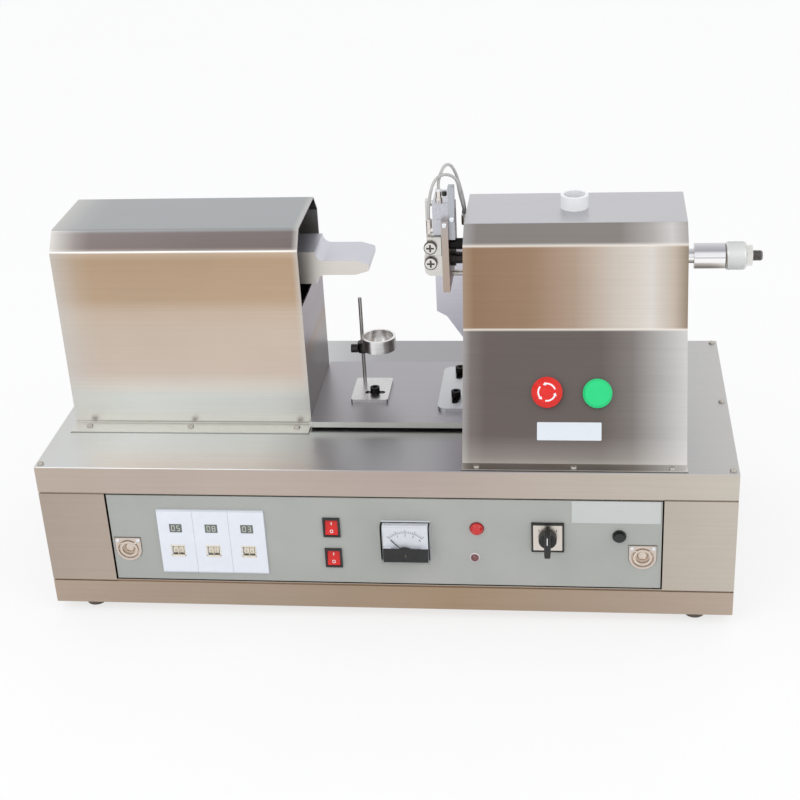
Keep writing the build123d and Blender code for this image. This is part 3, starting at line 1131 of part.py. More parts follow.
# Round lamp and small light, with their bodies behind the panel
with BuildPart() as indicator_lamps:
    for x, z, r, out, body_r, body_len in (
            (cab_x + lamp_x, cab_z + lamp_z, lamp_r, lamp_out, lamp_body_r, lamp_body_len),
            (cab_x + led_x, cab_z + led_z, led_r, led_out, led_body_r, led_body_len)):
        bar((x, panel_front, z), forward, r, out / 2)
        bar((x, panel_front, z), back, body_r, body_len)
        with Locations(Plane(origin=(x, panel_front - out / 2, z), z_dir=forward)):
            Cone(r - lens_step, r - lens_step - lens_taper, out / 2,
                 align=(Align.CENTER, Align.CENTER, Align.MIN))
save(indicator_lamps, "indicator_lamps")

# D-shaped plates and round dishes of the two ring pulls
with BuildPart() as pull_plates:
    for x, z in pull_points:
        with BuildSketch(Plane.XZ.offset(-panel_front)):
            with Locations((x, z)):
                Circle(pull_w / 2)
            with Locations((x, z + pull_w / 4)):
                Rectangle(pull_w, pull_w / 2)
        extrude(amount=pull_plate_t)
        bar((x, panel_front, z), back, dish_r + dish_wall, dish_deep + dish_wall - pull_plate_t)
        bar((x, panel_front - pull_plate_t - over, z), back, dish_r, dish_deep + over,
            Mode.SUBTRACT)
        bar((x - ring_pin_half - fit_gap, panel_front - pull_plate_t + fit_gap + ring_t / 2,
             z + ring_pin_z), right, ring_pin_r + bore_gap, 2 * (ring_pin_half + fit_gap),
            Mode.SUBTRACT)
save(pull_plates, "pull_plates")


def pull_ring(x, z):
    """A flat ring, flush in its dish, with the pin it swings on."""
    front = panel_front - pull_plate_t + fit_gap
    bar((x, front, z), back, ring_r, ring_t)
    bar((x, front - over, z), back, ring_hole_r, ring_t + 2 * over, Mode.SUBTRACT)
    bar((x - ring_pin_half, front + ring_t / 2, z + ring_pin_z), right, ring_pin_r,
        2 * ring_pin_half)


with BuildPart() as ring_left:
    pull_ring(*pull_points[0])
save(ring_left, "ring_left")

with BuildPart() as ring_right:
    pull_ring(*pull_points[1])
save(ring_right, "ring_right")
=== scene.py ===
import math

import bpy
from mathutils import Matrix, Vector


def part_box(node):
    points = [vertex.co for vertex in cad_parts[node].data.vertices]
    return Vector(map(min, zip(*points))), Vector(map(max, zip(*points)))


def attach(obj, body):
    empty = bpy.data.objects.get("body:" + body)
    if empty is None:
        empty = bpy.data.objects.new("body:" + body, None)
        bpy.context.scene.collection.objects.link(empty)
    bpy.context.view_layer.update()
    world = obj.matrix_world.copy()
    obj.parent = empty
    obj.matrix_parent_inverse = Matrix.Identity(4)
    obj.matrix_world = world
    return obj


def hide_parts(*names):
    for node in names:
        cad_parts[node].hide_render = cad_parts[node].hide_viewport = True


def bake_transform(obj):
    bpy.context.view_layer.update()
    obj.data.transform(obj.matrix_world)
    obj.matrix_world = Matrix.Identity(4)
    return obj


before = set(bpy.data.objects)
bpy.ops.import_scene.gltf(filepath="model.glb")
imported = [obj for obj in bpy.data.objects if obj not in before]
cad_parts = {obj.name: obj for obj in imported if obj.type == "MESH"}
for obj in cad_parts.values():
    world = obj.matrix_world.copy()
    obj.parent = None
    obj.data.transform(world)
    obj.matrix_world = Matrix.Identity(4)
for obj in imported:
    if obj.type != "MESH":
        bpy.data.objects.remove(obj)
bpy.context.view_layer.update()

scene = bpy.context.scene
scene.view_settings.view_transform = "Standard"

# Camera: it stands in front of the machine, a little to the right of its middle and well above
# the deck, and looks down on it. Its place was fitted to corners seen in the photograph.
yaw, pitch, roll = 0.135, -0.464, -0.056
ahead = Vector((-math.sin(yaw) * math.cos(pitch), math.cos(yaw) * math.cos(pitch), math.sin(pitch)))
level = Vector((math.cos(yaw), math.sin(yaw), 0.0))
rise = level.cross(ahead)
view_right = math.cos(roll) * level + math.sin(roll) * rise
view_up = math.cos(roll) * rise - math.sin(roll) * level
lens = bpy.data.cameras.new("camera")
lens.lens, lens.sensor_width = 68.35, 36.0
camera = bpy.data.objects.new("camera", lens)
camera.matrix_world = (Matrix.Translation((0.2443, -1.8715, 1.1712))
                       @ Matrix((view_right, view_up, -ahead)).transposed().to_4x4())
scene.collection.objects.link(camera)
scene.camera = camera


class Wire:
    """A shader socket. Arithmetic on it adds Math nodes, and node() adds any other node."""

    def __init__(self, tree, socket=None):
        self.tree, self.socket = tree, socket

    def node(self, kind, settings, inputs, output=0):
        made = self.tree.nodes.new("ShaderNode" + kind)
        for name, value in settings.items():
            if name == "stops":
                stops = made.color_ramp.elements
                stops.remove(stops[1])
                stops[0].position, stops[0].color = value[0]
                for position, colour in value[1:]:
                    stops.new(position).color = colour
            else:
                setattr(made, name, value)
        for name, value in inputs.items():
            if isinstance(value, Wire):
                self.tree.links.new(value.socket, made.inputs[name])
            else:
                made.inputs[name].default_value = value
        return Wire(self.tree, made.outputs[output]) if made.outputs else None

    def math(self, operation, *values):
        return self.node("Math", {"operation": operation}, dict(enumerate(values)))

    def __add__(self, other):
        return self.math("ADD", self, other)

    def __sub__(self, other):
        return self.math("SUBTRACT", self, other)

    def __rsub__(self, other):
        return self.math("SUBTRACT", other, self)

    def __mul__(self, other):
        return self.math("MULTIPLY", self, other)

    def __abs__(self):
        return self.math("ABSOLUTE", self)

    def above(self, other):
        return self.math("GREATER_THAN", self, other)

    def ramp(self, *stops):
        """Colours along this wire. A stop is the value where it stands and its colour, or that
        value and the three numbers of a screen colour."""
        stops = [(stop[0], srgb(*stop[1:])) if len(stop) == 4 else stop for stop in stops]
        return self.node("ValToRGB", {"stops": stops}, {0: self})

    def between(self, first, second):
        """Two colours mixed by this wire."""
        return self.node("Mix", {"data_type": "RGBA"}, {0: self, 6: first, 7: second}, 2)

    def times(self, factor):
        """This colour made lighter or darker by a factor."""
        return self.node("VectorMath", {"operation": "SCALE"}, {0: self, "Scale": factor})

    __radd__ = __add__
    __rmul__ = __mul__


def srgb(red, green, blue):
    """A screen colour, 0 to 255, as the linear colour that shaders use."""
    parts = [c / 255 for c in (red, green, blue)]
    return (*[c / 12.92 if c < 0.04045 else ((c + 0.055) / 1.055) ** 2.4 for c in parts], 1.0)


def blank(name):
    """A new material, and a wire at its place in the machine's frame, in metres."""
    material = bpy.data.materials.new(name)
    material.use_nodes = True
    material.node_tree.nodes.clear()
    return material, Wire(material.node_tree).node("TexCoord", {}, {}, "Object")


def noise(place, scale, stretch=(1.0, 1.0, 1.0), detail=3.0):
    """Cloudy noise around 0.5, with so many features to the metre along each axis."""
    where = place.node("VectorMath", {"operation": "MULTIPLY"},
                       {0: place, 1: [scale * share for share in stretch]})
    return place.node("TexNoise", {}, {"Vector": where, "Scale": 1.0, "Detail": detail,
                                       "Roughness": 0.6})


def shade(place, colour, roughness, height, depth, **constants):
    """The shader of a material: its colour, roughness and surface height come from wires."""
    normal = place.node("Bump", {}, {"Height": height, "Strength": 1.0, "Distance": depth})
    inputs = {"Base Color": colour, "Roughness": roughness, "Normal": normal}
    inputs.update({name.replace("_", " "): value for name, value in constants.items()})
    shader = place.node("BsdfPrincipled", {}, inputs)
    place.node("OutputMaterial", {}, {"Surface": shader})


# Air hoses: two 4 mm polyurethane hoses, pale and slightly see-through, that arch up from the
# elbows on the tower's wall and come down on the two fittings of the press head. Their routes
# are in millimetres from the cabinet's middle line, its front and its underside.
hose_finish, place = blank("hose_pale")
cloud, specks = noise(place, 60), noise(place, 900)
shade(place, cloud.ramp((0.3, 188, 187, 185), (0.7, 212, 211, 208)),
      0.28 + specks * 0.15, specks, 0.00004, IOR=1.5, Transmission_Weight=0.15)
hose_routes = {
    "hose_outer": ((103.5, 236.5, 475.0), (103.5, 236.5, 483.0), (102.0, 231.5, 495.5),
                   (100.0, 226.5, 509.5), (97.0, 221.0, 524.5), (93.0, 215.0, 539.5),
                   (88.0, 209.5, 548.5), (82.0, 204.0, 548.5), (77.5, 198.5, 541.5),
                   (74.8, 193.0, 533.0), (74.0, 190.0, 526.0), (74.0, 190.0, 518.0)),
    "hose_inner": ((103.5, 226.0, 472.0), (103.5, 226.0, 479.0), (102.2, 221.5, 489.0),
                   (100.8, 216.0, 499.0), (99.4, 211.0, 509.0), (98.6, 207.5, 518.5),
                   (97.2, 204.0, 528.0), (92.5, 201.0, 534.5), (86.5, 196.5, 538.5),
                   (80.5, 191.5, 540.0), (74.5, 187.0, 538.5), (69.5, 184.2, 533.0),
                   (65.8, 183.2, 524.5), (63.0, 183.5, 512.0), (61.0, 184.0, 500.0),
                   (60.5, 184.0, 490.0), (60.5, 184.0, 480.0))}
hose_d = 0.004
cabinet_mid, cabinet_front, cabinet_under = -17.7, -198.5, 14.0
for name, spots in hose_routes.items():
    route = [Vector((x + cabinet_mid, y + cabinet_front, z + cabinet_under)) / 1000
             for x, y, z in spots]
    curve = bpy.data.curves.new(name + "_line", "CURVE")
    curve.dimensions, curve.resolution_u, curve.use_fill_caps = "3D", 12, True
    spline = curve.splines.new("NURBS")
    spline.points.add(len(route) - 1)
    for point, spot in zip(spline.points, route):
        point.co = (*spot, 1.0)
    spline.order_u, spline.use_endpoint_u = 3, True
    drawn = bpy.data.objects.new(name + "_line", curve)
    scene.collection.objects.link(drawn)
    centre = [v.co.copy() for v in bpy.data.meshes.new_from_object(drawn).vertices]
    curve.bevel_depth, curve.bevel_resolution = hose_d / 2, 6
    bpy.context.view_layer.update()
    tube = bpy.data.meshes.new_from_object(
        drawn.evaluated_get(bpy.context.evaluated_depsgraph_get()))
    tube.name = name + "_tube"
    tube.materials.clear()
    tube.materials.append(hose_finish)
    tube.polygons.foreach_set("use_smooth", [True] * len(tube.polygons))
    bpy.data.objects.remove(drawn)
    hose = bpy.data.objects.new(name + "_tube", tube)
    scene.collection.objects.link(hose)
    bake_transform(hose)
    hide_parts(name)

# Studio: a plain pale floor that keeps the machine's shadow, a bright even surround and two
# large soft lights. What the camera and the metal see beyond the floor is white.
floor_finish, place = blank("studio_floor")
cloud = noise(place, 3)


def seen(wire):
    """One for a ray from the camera, off metal or through clear plastic, and else nought."""
    rays = [wire.node("LightPath", {}, {}, f"Is {kind} Ray")
            for kind in ("Camera", "Glossy", "Transmission")]
    return wire.math("MINIMUM", rays[0] + rays[1] + rays[2], 1.0)


paper = place.node("BsdfPrincipled", {}, {
    "Base Color": cloud.ramp((0.2, 245, 245, 246), (0.8, 249, 249, 250)),
    "Roughness": 0.6 + cloud * 0.2})
glow = place.node("Emission", {}, {"Color": (1.0, 1.0, 1.0, 1.0), "Strength": 1.0})
place.node("OutputMaterial", {}, {"Surface": place.node(
    "MixShader", {}, {0: seen(place) * 0.72, 1: paper, 2: glow})})
reach = 30.0
floor_mesh = bpy.data.meshes.new("studio_floor")
floor_mesh.from_pydata([(-reach, -reach, 0), (reach, -reach, 0), (reach, reach, 0),
                        (-reach, reach, 0)], [], [(0, 1, 2, 3)])
floor_mesh.materials.append(floor_finish)
floor = bpy.data.objects.new("studio_floor", floor_mesh)
scene.collection.objects.link(floor)
world = bpy.data.worlds.new("studio")
scene.world = world
world.use_nodes = True
world.node_tree.nodes.clear()
start = Wire(world.node_tree)
around = start.node("Background", {}, {"Color": (0.97, 0.98, 1.0, 1.0), "Strength": 0.95})
beyond = start.node("Background", {}, {"Color": (1.0, 1.0, 1.0, 1.0), "Strength": 1.0})
start.node("OutputWorld", {}, {"Surface": start.node(
    "MixShader", {}, {0: seen(start), 1: around, 2: beyond})})
for name, spot, size, power in (("key_light", (-1.4, -1.9, 2.3), 1.8, 14.0),
                                ("fill_light", (1.9, -1.5, 1.7), 2.2, 8.0)):
    light = bpy.data.lights.new(name, "AREA")
    light.shape, light.size, light.energy = "SQUARE", size, power
    lamp = bpy.data.objects.new(name, light)
    lamp.location = spot
    lamp.rotation_euler = (Vector((0.0, 0.0, 0.25)) - Vector(spot)).to_track_quat(
        "-Z", "Y").to_euler()
    scene.collection.objects.link(lamp)


def dress(material, *names):
    """CAD nodes take a material."""
    for name in names:
        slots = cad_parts[name].data.materials
        slots.clear()
        slots.append(material)


def axes(place):
    """The three coordinates of a place, as wires."""
    return [place.node("SeparateXYZ", {}, {0: place}, axis) for axis in "XYZ"]


def brushed(name, tone, rough=0.3, streak=0.16, upright=False):
    """Brushed sheet: fine streaks along the sheet and a cloudy tone. The colour before streaks
    comes from tone, which takes the place's and the surface direction's coordinates."""
    material, place = blank(name)
    facing = axes(place.node("NewGeometry", {}, {}, "Normal"))
    if upright:
        grain = noise(place, 420, (1.0, 1.0, 0.01), 4.0)
    else:
        grain = noise(place, 420, (0.01, 1.0, 1.0), 4.0)
        crosswise = noise(place, 420, (1.0, 0.01, 1.0), 4.0)
        grain = grain + (crosswise - grain) * abs(facing[0])
    cloud = noise(place, 9, detail=4.0)
    colour = tone(axes(place), facing).times((1.0 - streak / 2) + grain * streak)
    shade(place, colour.times(0.94 + cloud * 0.12), (rough - 0.08) + grain * 0.1 + cloud * 0.1,
          grain, 0.000012, Metallic=1.0)
    return material


def across(wire, low, high):
    """A coordinate as a share of the way between two places."""
    return (wire - low) * (1 / (high - low))


def grey(level):
    return (level, level, level, 1.0)


# Base pan, wrap and deck: folded from brushed stainless sheet. The warm tone of the sheet's front
# faces is a painted reflection of the room, and the deck's greyer middle is a painted reflection
# too.
# Where the hood's and the tower's flanges lie on it, a thin dark band of painted shadow lies on the
# deck along their front edges.
low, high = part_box("deck_sheet")
hood_low, hood_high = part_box("hood_cover")
tower_low, tower_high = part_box("tower_cover")
shadow_side, shadow_front, shadow_under = 0.0006, 0.0016, 0.002


def deck_tone(at, facing):
    u = across(at[0], low.x, high.x)
    # Painted reflection: the deck greyer in its middle.
    top = u.ramp((0.0, 204, 205, 203), (0.12, 214, 217, 218), (0.32, 208, 210, 210),
                 (0.46, 162, 161, 164), (0.7, 154, 152, 156), (0.93, 184, 183, 183),
                 (1.0, 190, 189, 188))
    # Painted shadow: a dark band on the deck along the front edge of each flange.
    for cover_low, cover_high in ((hood_low, hood_high), (tower_low, tower_high)):
        flange_shadow = (at[0].above(cover_low.x - shadow_side)
                 * (1.0 - at[0].above(cover_high.x + shadow_side))
                 * at[1].above(cover_low.y - shadow_front)
                 * (1.0 - at[1].above(cover_low.y + shadow_under)))
        top = (flange_shadow * 0.75).between(top, srgb(84, 82, 78))
    # Painted reflection: the warm tone of the deck's front lip.
    lip = u.ramp((0.0, 190, 176, 164), (0.3, 191, 177, 167), (0.55, 184, 170, 162),
                 (0.85, 196, 186, 174), (1.0, 203, 196, 185))
    return at[2].above(high.z - 0.001).between(lip, top)


def wrap_tone(at, facing):
    u = across(at[0], low.x, high.x)
    # Painted reflection: the warm tone of the wrap's front.
    front = u.ramp((0.0, 176, 162, 150), (0.12, 184, 170, 157), (0.88, 190, 180, 168),
                   (1.0, 199, 190, 178))
    return facing[1].above(-0.7).between(front, srgb(178, 170, 161))


def base_tone(at, facing):
    u = across(at[0], low.x, high.x)
    # Painted reflection: the warm tone of the base pan.
    return u.ramp((0.0, 180, 163, 147), (0.35, 171, 153, 136), (0.6, 168, 145, 122),
                  (0.85, 176, 158, 142), (1.0, 186, 170, 156))


dress(brushed("deck_steel", deck_tone), "deck_sheet")
dress(brushed("wrap_steel", wrap_tone), "cabinet_wrap")
dress(brushed("base_steel", base_tone), "base_pan")


def plain_metal(name, colour, rough=0.3, scale=300, stretch=(1.0, 1.0, 1.0), change=0.2):
    """Machined or plated metal: a tone that varies with the marks of the tool that cut it."""
    material, place = blank(name)
    marks, cloud = noise(place, scale, stretch, 4.0), noise(place, 25)
    base = marks.ramp((0.3, colour), (0.7, [c * (1 + change) for c in colour[:3]] + [1.0]))
    shade(place, base.times(0.92 + cloud * 0.16), (rough - 0.1) + marks * 0.1 + cloud * 0.1,
          marks, 0.00001, Metallic=1.0)
    return material


def mesh_piece(name, points, faces, material, body, smooth=0.6):
    """A new piece from points in the machine's frame. Edges sharper than smooth stay sharp."""
    mesh = bpy.data.meshes.new(name)
    mesh.from_pydata([tuple(point) for point in points], [], faces)
    mesh.polygons.foreach_set("use_smooth", [True] * len(mesh.polygons))
    mesh.set_sharp_from_angle(angle=smooth)
    mesh.materials.append(material)
    piece = bpy.data.objects.new(name, mesh)
    scene.collection.objects.link(piece)
    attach(piece, body)
    return piece


def ring_faces(rings, count, closed=False):
    """The faces between rings of points. In a closed row the last ring meets the first."""
    return [(r * count + i, r * count + (i + 1) % count,
             (r + 1) % rings * count + (i + 1) % count, (r + 1) % rings * count + i)
            for r in range(rings if closed else rings - 1) for i in range(count)]


def turned(name, origin, axis, rings, material, body, count=64, smooth=0.6):
    """A piece of rings about an axis, each a height and a radius or a radius for each angle."""
    frame_z = Vector(axis).normalized()
    frame_x = frame_z.cross(Vector((0, 0, 1)) if abs(frame_z.z) < 0.9 else Vector((0, 1, 0)))
    frame_x.normalize()
    frame_y = frame_z.cross(frame_x)
    points = []
    for height, radius in rings:
        for step in range(count):
            angle = 2 * math.pi * step / count
            r = radius(angle) if callable(radius) else radius
            points.append(Vector(origin) + frame_z * height
                          + r * (frame_x * math.cos(angle) + frame_y * math.sin(angle)))
    faces = ring_faces(len(rings), count)
    faces.append(tuple(reversed(range(count))))
    faces.append(tuple(range(len(points) - count, len(points))))
    return mesh_piece(name, points, faces, material, body, smooth)


def cross_recess(half_width, half_length):
    """The radius, at each angle, of the outline of a cross-shaped recess."""
    def radius(angle):
        turn = abs((angle + math.pi / 4) % (math.pi / 2) - math.pi / 4)
        if math.tan(turn) < half_width / half_length:
            return half_length / math.cos(turn)
        return half_width / math.sin(turn)
    return radius


def cross_head(name, origin, axis, r, height, material, body):
    """A screw head with a cross recess, standing on its origin."""
    mouth, floor = cross_recess(r * 0.13, r * 0.56), cross_recess(r * 0.09, r * 0.4)
    return turned(name, origin, axis, [
        (0.0, r), (height * 0.45, r), (height * 0.8, r * 0.88), (height, r * 0.66), (height, mouth),
        (height * 0.4, floor)], material, body, 64, 0.5)


# Screws of the deck, the hood and the tower: small zinc plated pan heads with a cross recess,
# screwed through the sheet. A pressed head stands over each plain one.
zinc = plain_metal("zinc_screws", srgb(178, 174, 168), 0.3)
dress(zinc, "cover_screws")
flange_top = high.z + 0.002
back_row, tower_row = 0.099, -0.1895
screw_spots = [(x, y, high.z) for x in (low.x + 0.007, high.x - 0.008)
               for y in (low.y + 0.009, (low.y + high.y) / 2, high.y - 0.009)]
screw_spots += [(x, y, flange_top)
                for x in (hood_low.x + 0.023, (hood_low.x + hood_high.x) / 2, hood_high.x - 0.018)
                for y in (-0.0855, back_row)]
screw_spots += [(x, y, flange_top)
                for x in (tower_low.x + 0.0187, (tower_low.x + tower_high.x) / 2,
                          tower_high.x - 0.0187) for y in (tower_row, back_row)]
for number, spot in enumerate(screw_spots):
    cross_head(f"cover_screw_head_{number:02d}", spot, (0, 0, 1), 0.0043, 0.0027, zinc, "cabinet")

# Feet: four moulded rubber feet, brownish black, paler and browner towards the floor.
rubber, place = blank("foot_rubber")
dust, pores = noise(place, 40), noise(place, 1500)
shade(place, across(axes(place)[2], 0.014, 0.0).ramp(
    (0.0, 52, 46, 42), (0.7, 96, 86, 78)).times(0.85 + dust * 0.3),
    0.65 + dust * 0.2, pores, 0.00008)
dress(rubber, "rubber_feet")

# Hood: folded brushed sheet. Its front is painted tan above and light grey below, and light grey
# near its ends, all painted reflections, with a painted highlight along the upper bend and a thin
# painted shadow just above its foot. The chamfer is painted darker and the top bluish grey, both
# painted reflections. Inside it is grey, painted darker as shade near the blade and under the top.
# Its right end is closed below the horn by a plate painted in shade and reflection: dark grey low
# down, a brownish band, and mauve grey higher up.
fold_z, hood_top = high.z + 0.251, hood_high.z
hood_mid_y, hood_mid_z = 0.009, 0.36
blade_top_z, horn_foot_z = 0.43, 0.4


def hood_tone(at, facing):
    v = across(at[2], high.z, hood_top)
    bend = (fold_z - high.z) / (hood_top - high.z)
    # Painted reflections on the front, a painted shadow above the foot and a painted highlight at
    # the bend.
    front = v.ramp(
        (0.0, 216, 216, 211), (0.0085, 216, 216, 211), (0.012, 150, 148, 142),
        (0.015, 158, 156, 150), (0.02, 212, 212, 207), (0.16, 213, 213, 208),
        (0.2, 216, 210, 201), (0.28, 207, 191, 178), (0.5, 204, 188, 172), (0.6, 202, 183, 165),
        (0.67, 188, 163, 138), (bend - 0.04, 184, 158, 131), (bend - 0.006, 198, 176, 154),
        (bend, 250, 247, 242), (bend + 0.006, 140, 131, 128), (bend + 0.016, 112, 104, 102),
        (0.985, 116, 108, 107), (0.997, 150, 152, 154), (1.0, 161, 164, 166))
    u = across(at[0], hood_low.x, hood_high.x)
    # Painted reflection: the front lighter near both ends.
    ends = u.ramp((0.0, grey(1.0)), (0.03, grey(0.7)), (0.1, grey(0.2)), (0.16, grey(0.0)),
                  (0.975, grey(0.0)), (0.99, grey(0.55)), (1.0, grey(0.9)))
    outside = (ends * 0.7).between(front, srgb(206, 204, 200))
    # The end plate's colours are painted shade and painted reflection.
    plate = across(at[2], high.z, horn_foot_z).ramp(
        (0.0, 116, 110, 108), (0.45, 124, 117, 118), (0.58, 132, 110, 96),
        (0.66, 130, 120, 125), (1.0, 136, 125, 133))
    outside = abs(facing[0]).above(0.7).between(outside, plate)
    # Inside, painted shade darkens the bottom and the top.
    lining = across(at[2], blade_top_z, hood_top).ramp(
        (0.0, 150, 150, 152), (0.5, 190, 190, 192), (0.85, 205, 205, 206),
        (1.0, 150, 152, 150))
    outward = facing[1] * (at[1] - hood_mid_y) + facing[2] * (at[2] - hood_mid_z)
    flange = 1.0 - at[2].above(high.z + 0.003)
    return (outward.above(-0.0005) + flange).between(lining, outside)


dress(brushed("hood_steel", hood_tone), "hood_cover")

# Tower: folded brushed sheet with a sloping face. Its tones are painted reflections: the upper face
# runs from brown to near white, the slope is dark with a bright painted reflection at its right,
# and the top is light grey. Both bends carry a painted highlight as a bright line, and the slope's
# foot a paler painted highlight.
knee_z, shoulder_z, tower_top = 0.3777, 0.4786, 0.4985


def tower_tone(at, facing):
    u = across(at[0], tower_low.x, tower_high.x)
    # Painted reflections: the colours of the slope, the face, the shoulder and the top.
    slope = u.ramp((0.0, 158, 154, 152), (0.035, 120, 113, 110), (0.1, 105, 97, 94),
                   (0.62, 106, 99, 96), (0.76, 130, 124, 121), (0.88, 172, 170, 168),
                   (1.0, 204, 203, 202))
    face = u.ramp((0.0, 168, 145, 126), (0.05, 150, 122, 98), (0.3, 158, 131, 108),
                  (0.5, 176, 155, 138), (0.68, 204, 194, 183), (0.84, 220, 215, 208),
                  (0.94, 196, 184, 170), (1.0, 150, 134, 118))
    shoulder = u.ramp((0.0, 168, 166, 166), (0.06, 139, 133, 130), (0.7, 140, 134, 131),
                      (0.84, 178, 174, 172), (0.93, 210, 208, 206), (1.0, 176, 172, 168))
    colour = at[2].above(knee_z).between(slope, face)
    colour = at[2].above(shoulder_z).between(colour, shoulder)
    colour = at[2].above(tower_top - 0.0006).between(colour, srgb(193, 193, 197))
    span = tower_top - high.z
    knee, shoulder_bend = (knee_z - high.z) / span, (shoulder_z - high.z) / span
    # Painted highlights: bright lines along both bends and a paler band at the slope's foot.
    line = across(at[2], high.z, tower_top).ramp(
        (0.0, grey(0.35)), (0.03, grey(0.18)), (0.12, grey(0.0)),
        (knee - 0.007, grey(0.0)), (knee, grey(1.0)), (knee + 0.007, grey(0.0)),
        (shoulder_bend - 0.007, grey(0.0)), (shoulder_bend, grey(1.0)),
        (shoulder_bend + 0.008, grey(0.0)))
    return (line * 0.85).between(colour, srgb(244, 238, 230))


dress(brushed("tower_steel", tower_tone), "tower_cover")


def even(colour):
    """A tone that is the same all over, before streaks."""
    return lambda at, facing: at[0].ramp((0.0, colour), (1.0, colour))


# Bed plate: a thick ground plate on pads, between and under the two covers. Its front and back
# edges are painted lighter than its top, a painted highlight.
dress(brushed("bed_steel", lambda at, facing: abs(facing[1]).above(0.7).between(
    srgb(168, 166, 170), srgb(224, 226, 218)), 0.34), "bed_plate")

# Press frame and transducer clamp: milled steel plates bolted to the bed, with black oxide
# socket screws through the foot of the press frame.
dress(brushed("frame_steel", even(srgb(196, 198, 200)), 0.34), "press_frame", "transducer_clamp")
dress(plain_metal("black_oxide", srgb(30, 29, 29), 0.45, change=0.6), "clamp_screws")

# Guard plate: folded sheet behind the press head, lavender grey.
dress(brushed("guard_steel", even(srgb(228, 227, 236)), 0.36), "guard_plate")

# Horn: a solid aluminium block milled down to a flat blade, satin. Its top is painted lavender and
# its sides warmer, painted reflections.
horn_finish, place = blank("horn_aluminium")
marks, cloud = noise(place, 500, (1.0, 0.02, 1.0), 4.0), noise(place, 20)
facing = axes(place.node("NewGeometry", {}, {}, "Normal"))
# Painted reflections: a lavender top and warmer sides, chosen by which way each face points.
shade(place, abs(facing[1]).between(srgb(206, 206, 214), srgb(222, 217, 210)).times(
    0.94 + marks * 0.1).times(0.95 + cloud * 0.1), 0.3 + marks * 0.12 + cloud * 0.06, marks,
    0.00001, Metallic=1.0)
dress(horn_finish, "horn")

# Transducer: turned aluminium and steel masses with pale ceramic rings between them, bolted
# behind the horn inside the hood.
dress(plain_metal("transducer_metal", srgb(178, 178, 180), 0.34, 500, (1.0, 0.05, 0.05)),
      "transducer_stack")

# Press head: milled steel blocks on a ground carrier plate with brownish edges, in front of a
# grey column. A large cross-recess screw with a dark rim sits in each end of the anvil and of the
# knife carriage.
head_y, head_z, carrier_back = 0.0085, 0.4342, 0.0688
dress(brushed("carrier_steel", lambda at, facing: at[0].above(carrier_back).between(
    across(at[2], 0.40, 0.50).ramp((0.0, 182, 164, 150), (0.7, 186, 172, 162),
                                   (1.0, 186, 178, 176)),
    srgb(186, 188, 195)), 0.32, upright=True), "carrier_plate")
dress(plain_metal("block_steel", srgb(206, 205, 200), 0.3, 400, (1.0, 0.03, 1.0)), "anvil_bar",
      "knife_carriage", "knife_blade")
block_zinc = plain_metal("block_screws", srgb(214, 212, 208), 0.26)
dark_ring = plain_metal("screw_rim", srgb(84, 80, 76), 0.4, change=0.5)
dress(dark_ring, "anvil_screws")
for row, (height, body) in enumerate(((0.0065, "head"), (0.028, "knife"))):
    for side in (-1, 1):
        spot = (0.0448, head_y + side * 0.0395, head_z + height)
        name = f"block_screw_{row}_{'front' if side < 0 else 'back'}"
        turned(name, spot, (0, side, 0), [
            (-0.0006, 0.0074), (0.0003, 0.0074), (0.0006, 0.0068),
            (0.0006, cross_recess(0.0013, 0.0052)), (-0.0001, cross_recess(0.0011, 0.0048))],
            block_zinc, body, 64, 0.5)
        turned(name + "_rim", spot, (0, side, 0), [
            (-0.0044, 0.0085), (-0.0001, 0.0085), (0.0003, 0.0083), (0.0003, 0.0078)],
            dark_ring, body, 64, 0.5)

# Plate screws of the head: a small bright socket screw near the top of the carrier's front edge
# and another in the front of the column.
bright_screw = plain_metal("bright_screws", srgb(236, 240, 244), 0.16, change=0.05)
for number, (x, y, z) in enumerate(((0.0642, head_y - 0.0388, 0.4938),
                                    (0.0732, head_y - 0.0268, 0.4975))):
    turned(f"head_screw_{number}", (x, y, z), (0, -1, 0), [
        (0.0, 0.0034), (0.0024, 0.0034), (0.0031, 0.0028), (0.0031, 0.0016), (0.0012, 0.0015)],
        bright_screw, "head", 48, 0.5)

# Ram and guides: hard chromed rods that carry the head. The upper guide and the ram's gland are
# blackened, and the lower guide is bright.
rod_finish, place = blank("ram_chrome")
marks = noise(place, 900, (1.0, 0.05, 0.05))
shade(place, across(axes(place)[2], 0.40, 0.47).ramp(
    (0.0, 214, 212, 208), (0.24, 208, 205, 202), (0.3, 66, 62, 60),
    (0.62, 52, 49, 48), (0.75, 34, 32, 32), (1.0, 28, 27, 27)).times(
        0.8 + marks * 0.4), 0.2 + marks * 0.2, marks, 0.00001, Metallic=0.9)
dress(rod_finish, "ram_rods")

# Cylinders: the press cylinder inside the tower and the small knife cylinder on the head, both
# anodised aluminium.
dress(plain_metal("cylinder_anodised", srgb(176, 176, 180), 0.36), "press_cylinder")
dress(plain_metal("cutter_anodised", srgb(190, 191, 197), 0.34), "cutter_cylinder")

# Fittings: nickel plated push-in fittings. The straight one on the head has a white release
# collar and a black sleeve, its elbow a nickel collar, and the elbows on the tower white ones.
nickel = plain_metal("nickel", srgb(216, 211, 205), 0.24)
dress(nickel, "hose_fittings")
dress(plain_metal("elbow_nickel", srgb(232, 226, 218), 0.34), "air_fittings")


def moulded(name, colour, rough=0.35, change=0.06):
    """Moulded plastic: slightly uneven colour and gloss, and a fine pebbled skin."""
    material, place = blank(name)
    cloud, skin = noise(place, 45), noise(place, 1200)
    base = cloud.ramp((0.25, [c * (1 - change) for c in colour[:3]] + [1.0]), (0.75, colour))
    shade(place, base, (rough - 0.06) + skin * 0.06 + cloud * 0.06, skin, 0.00003)
    return material


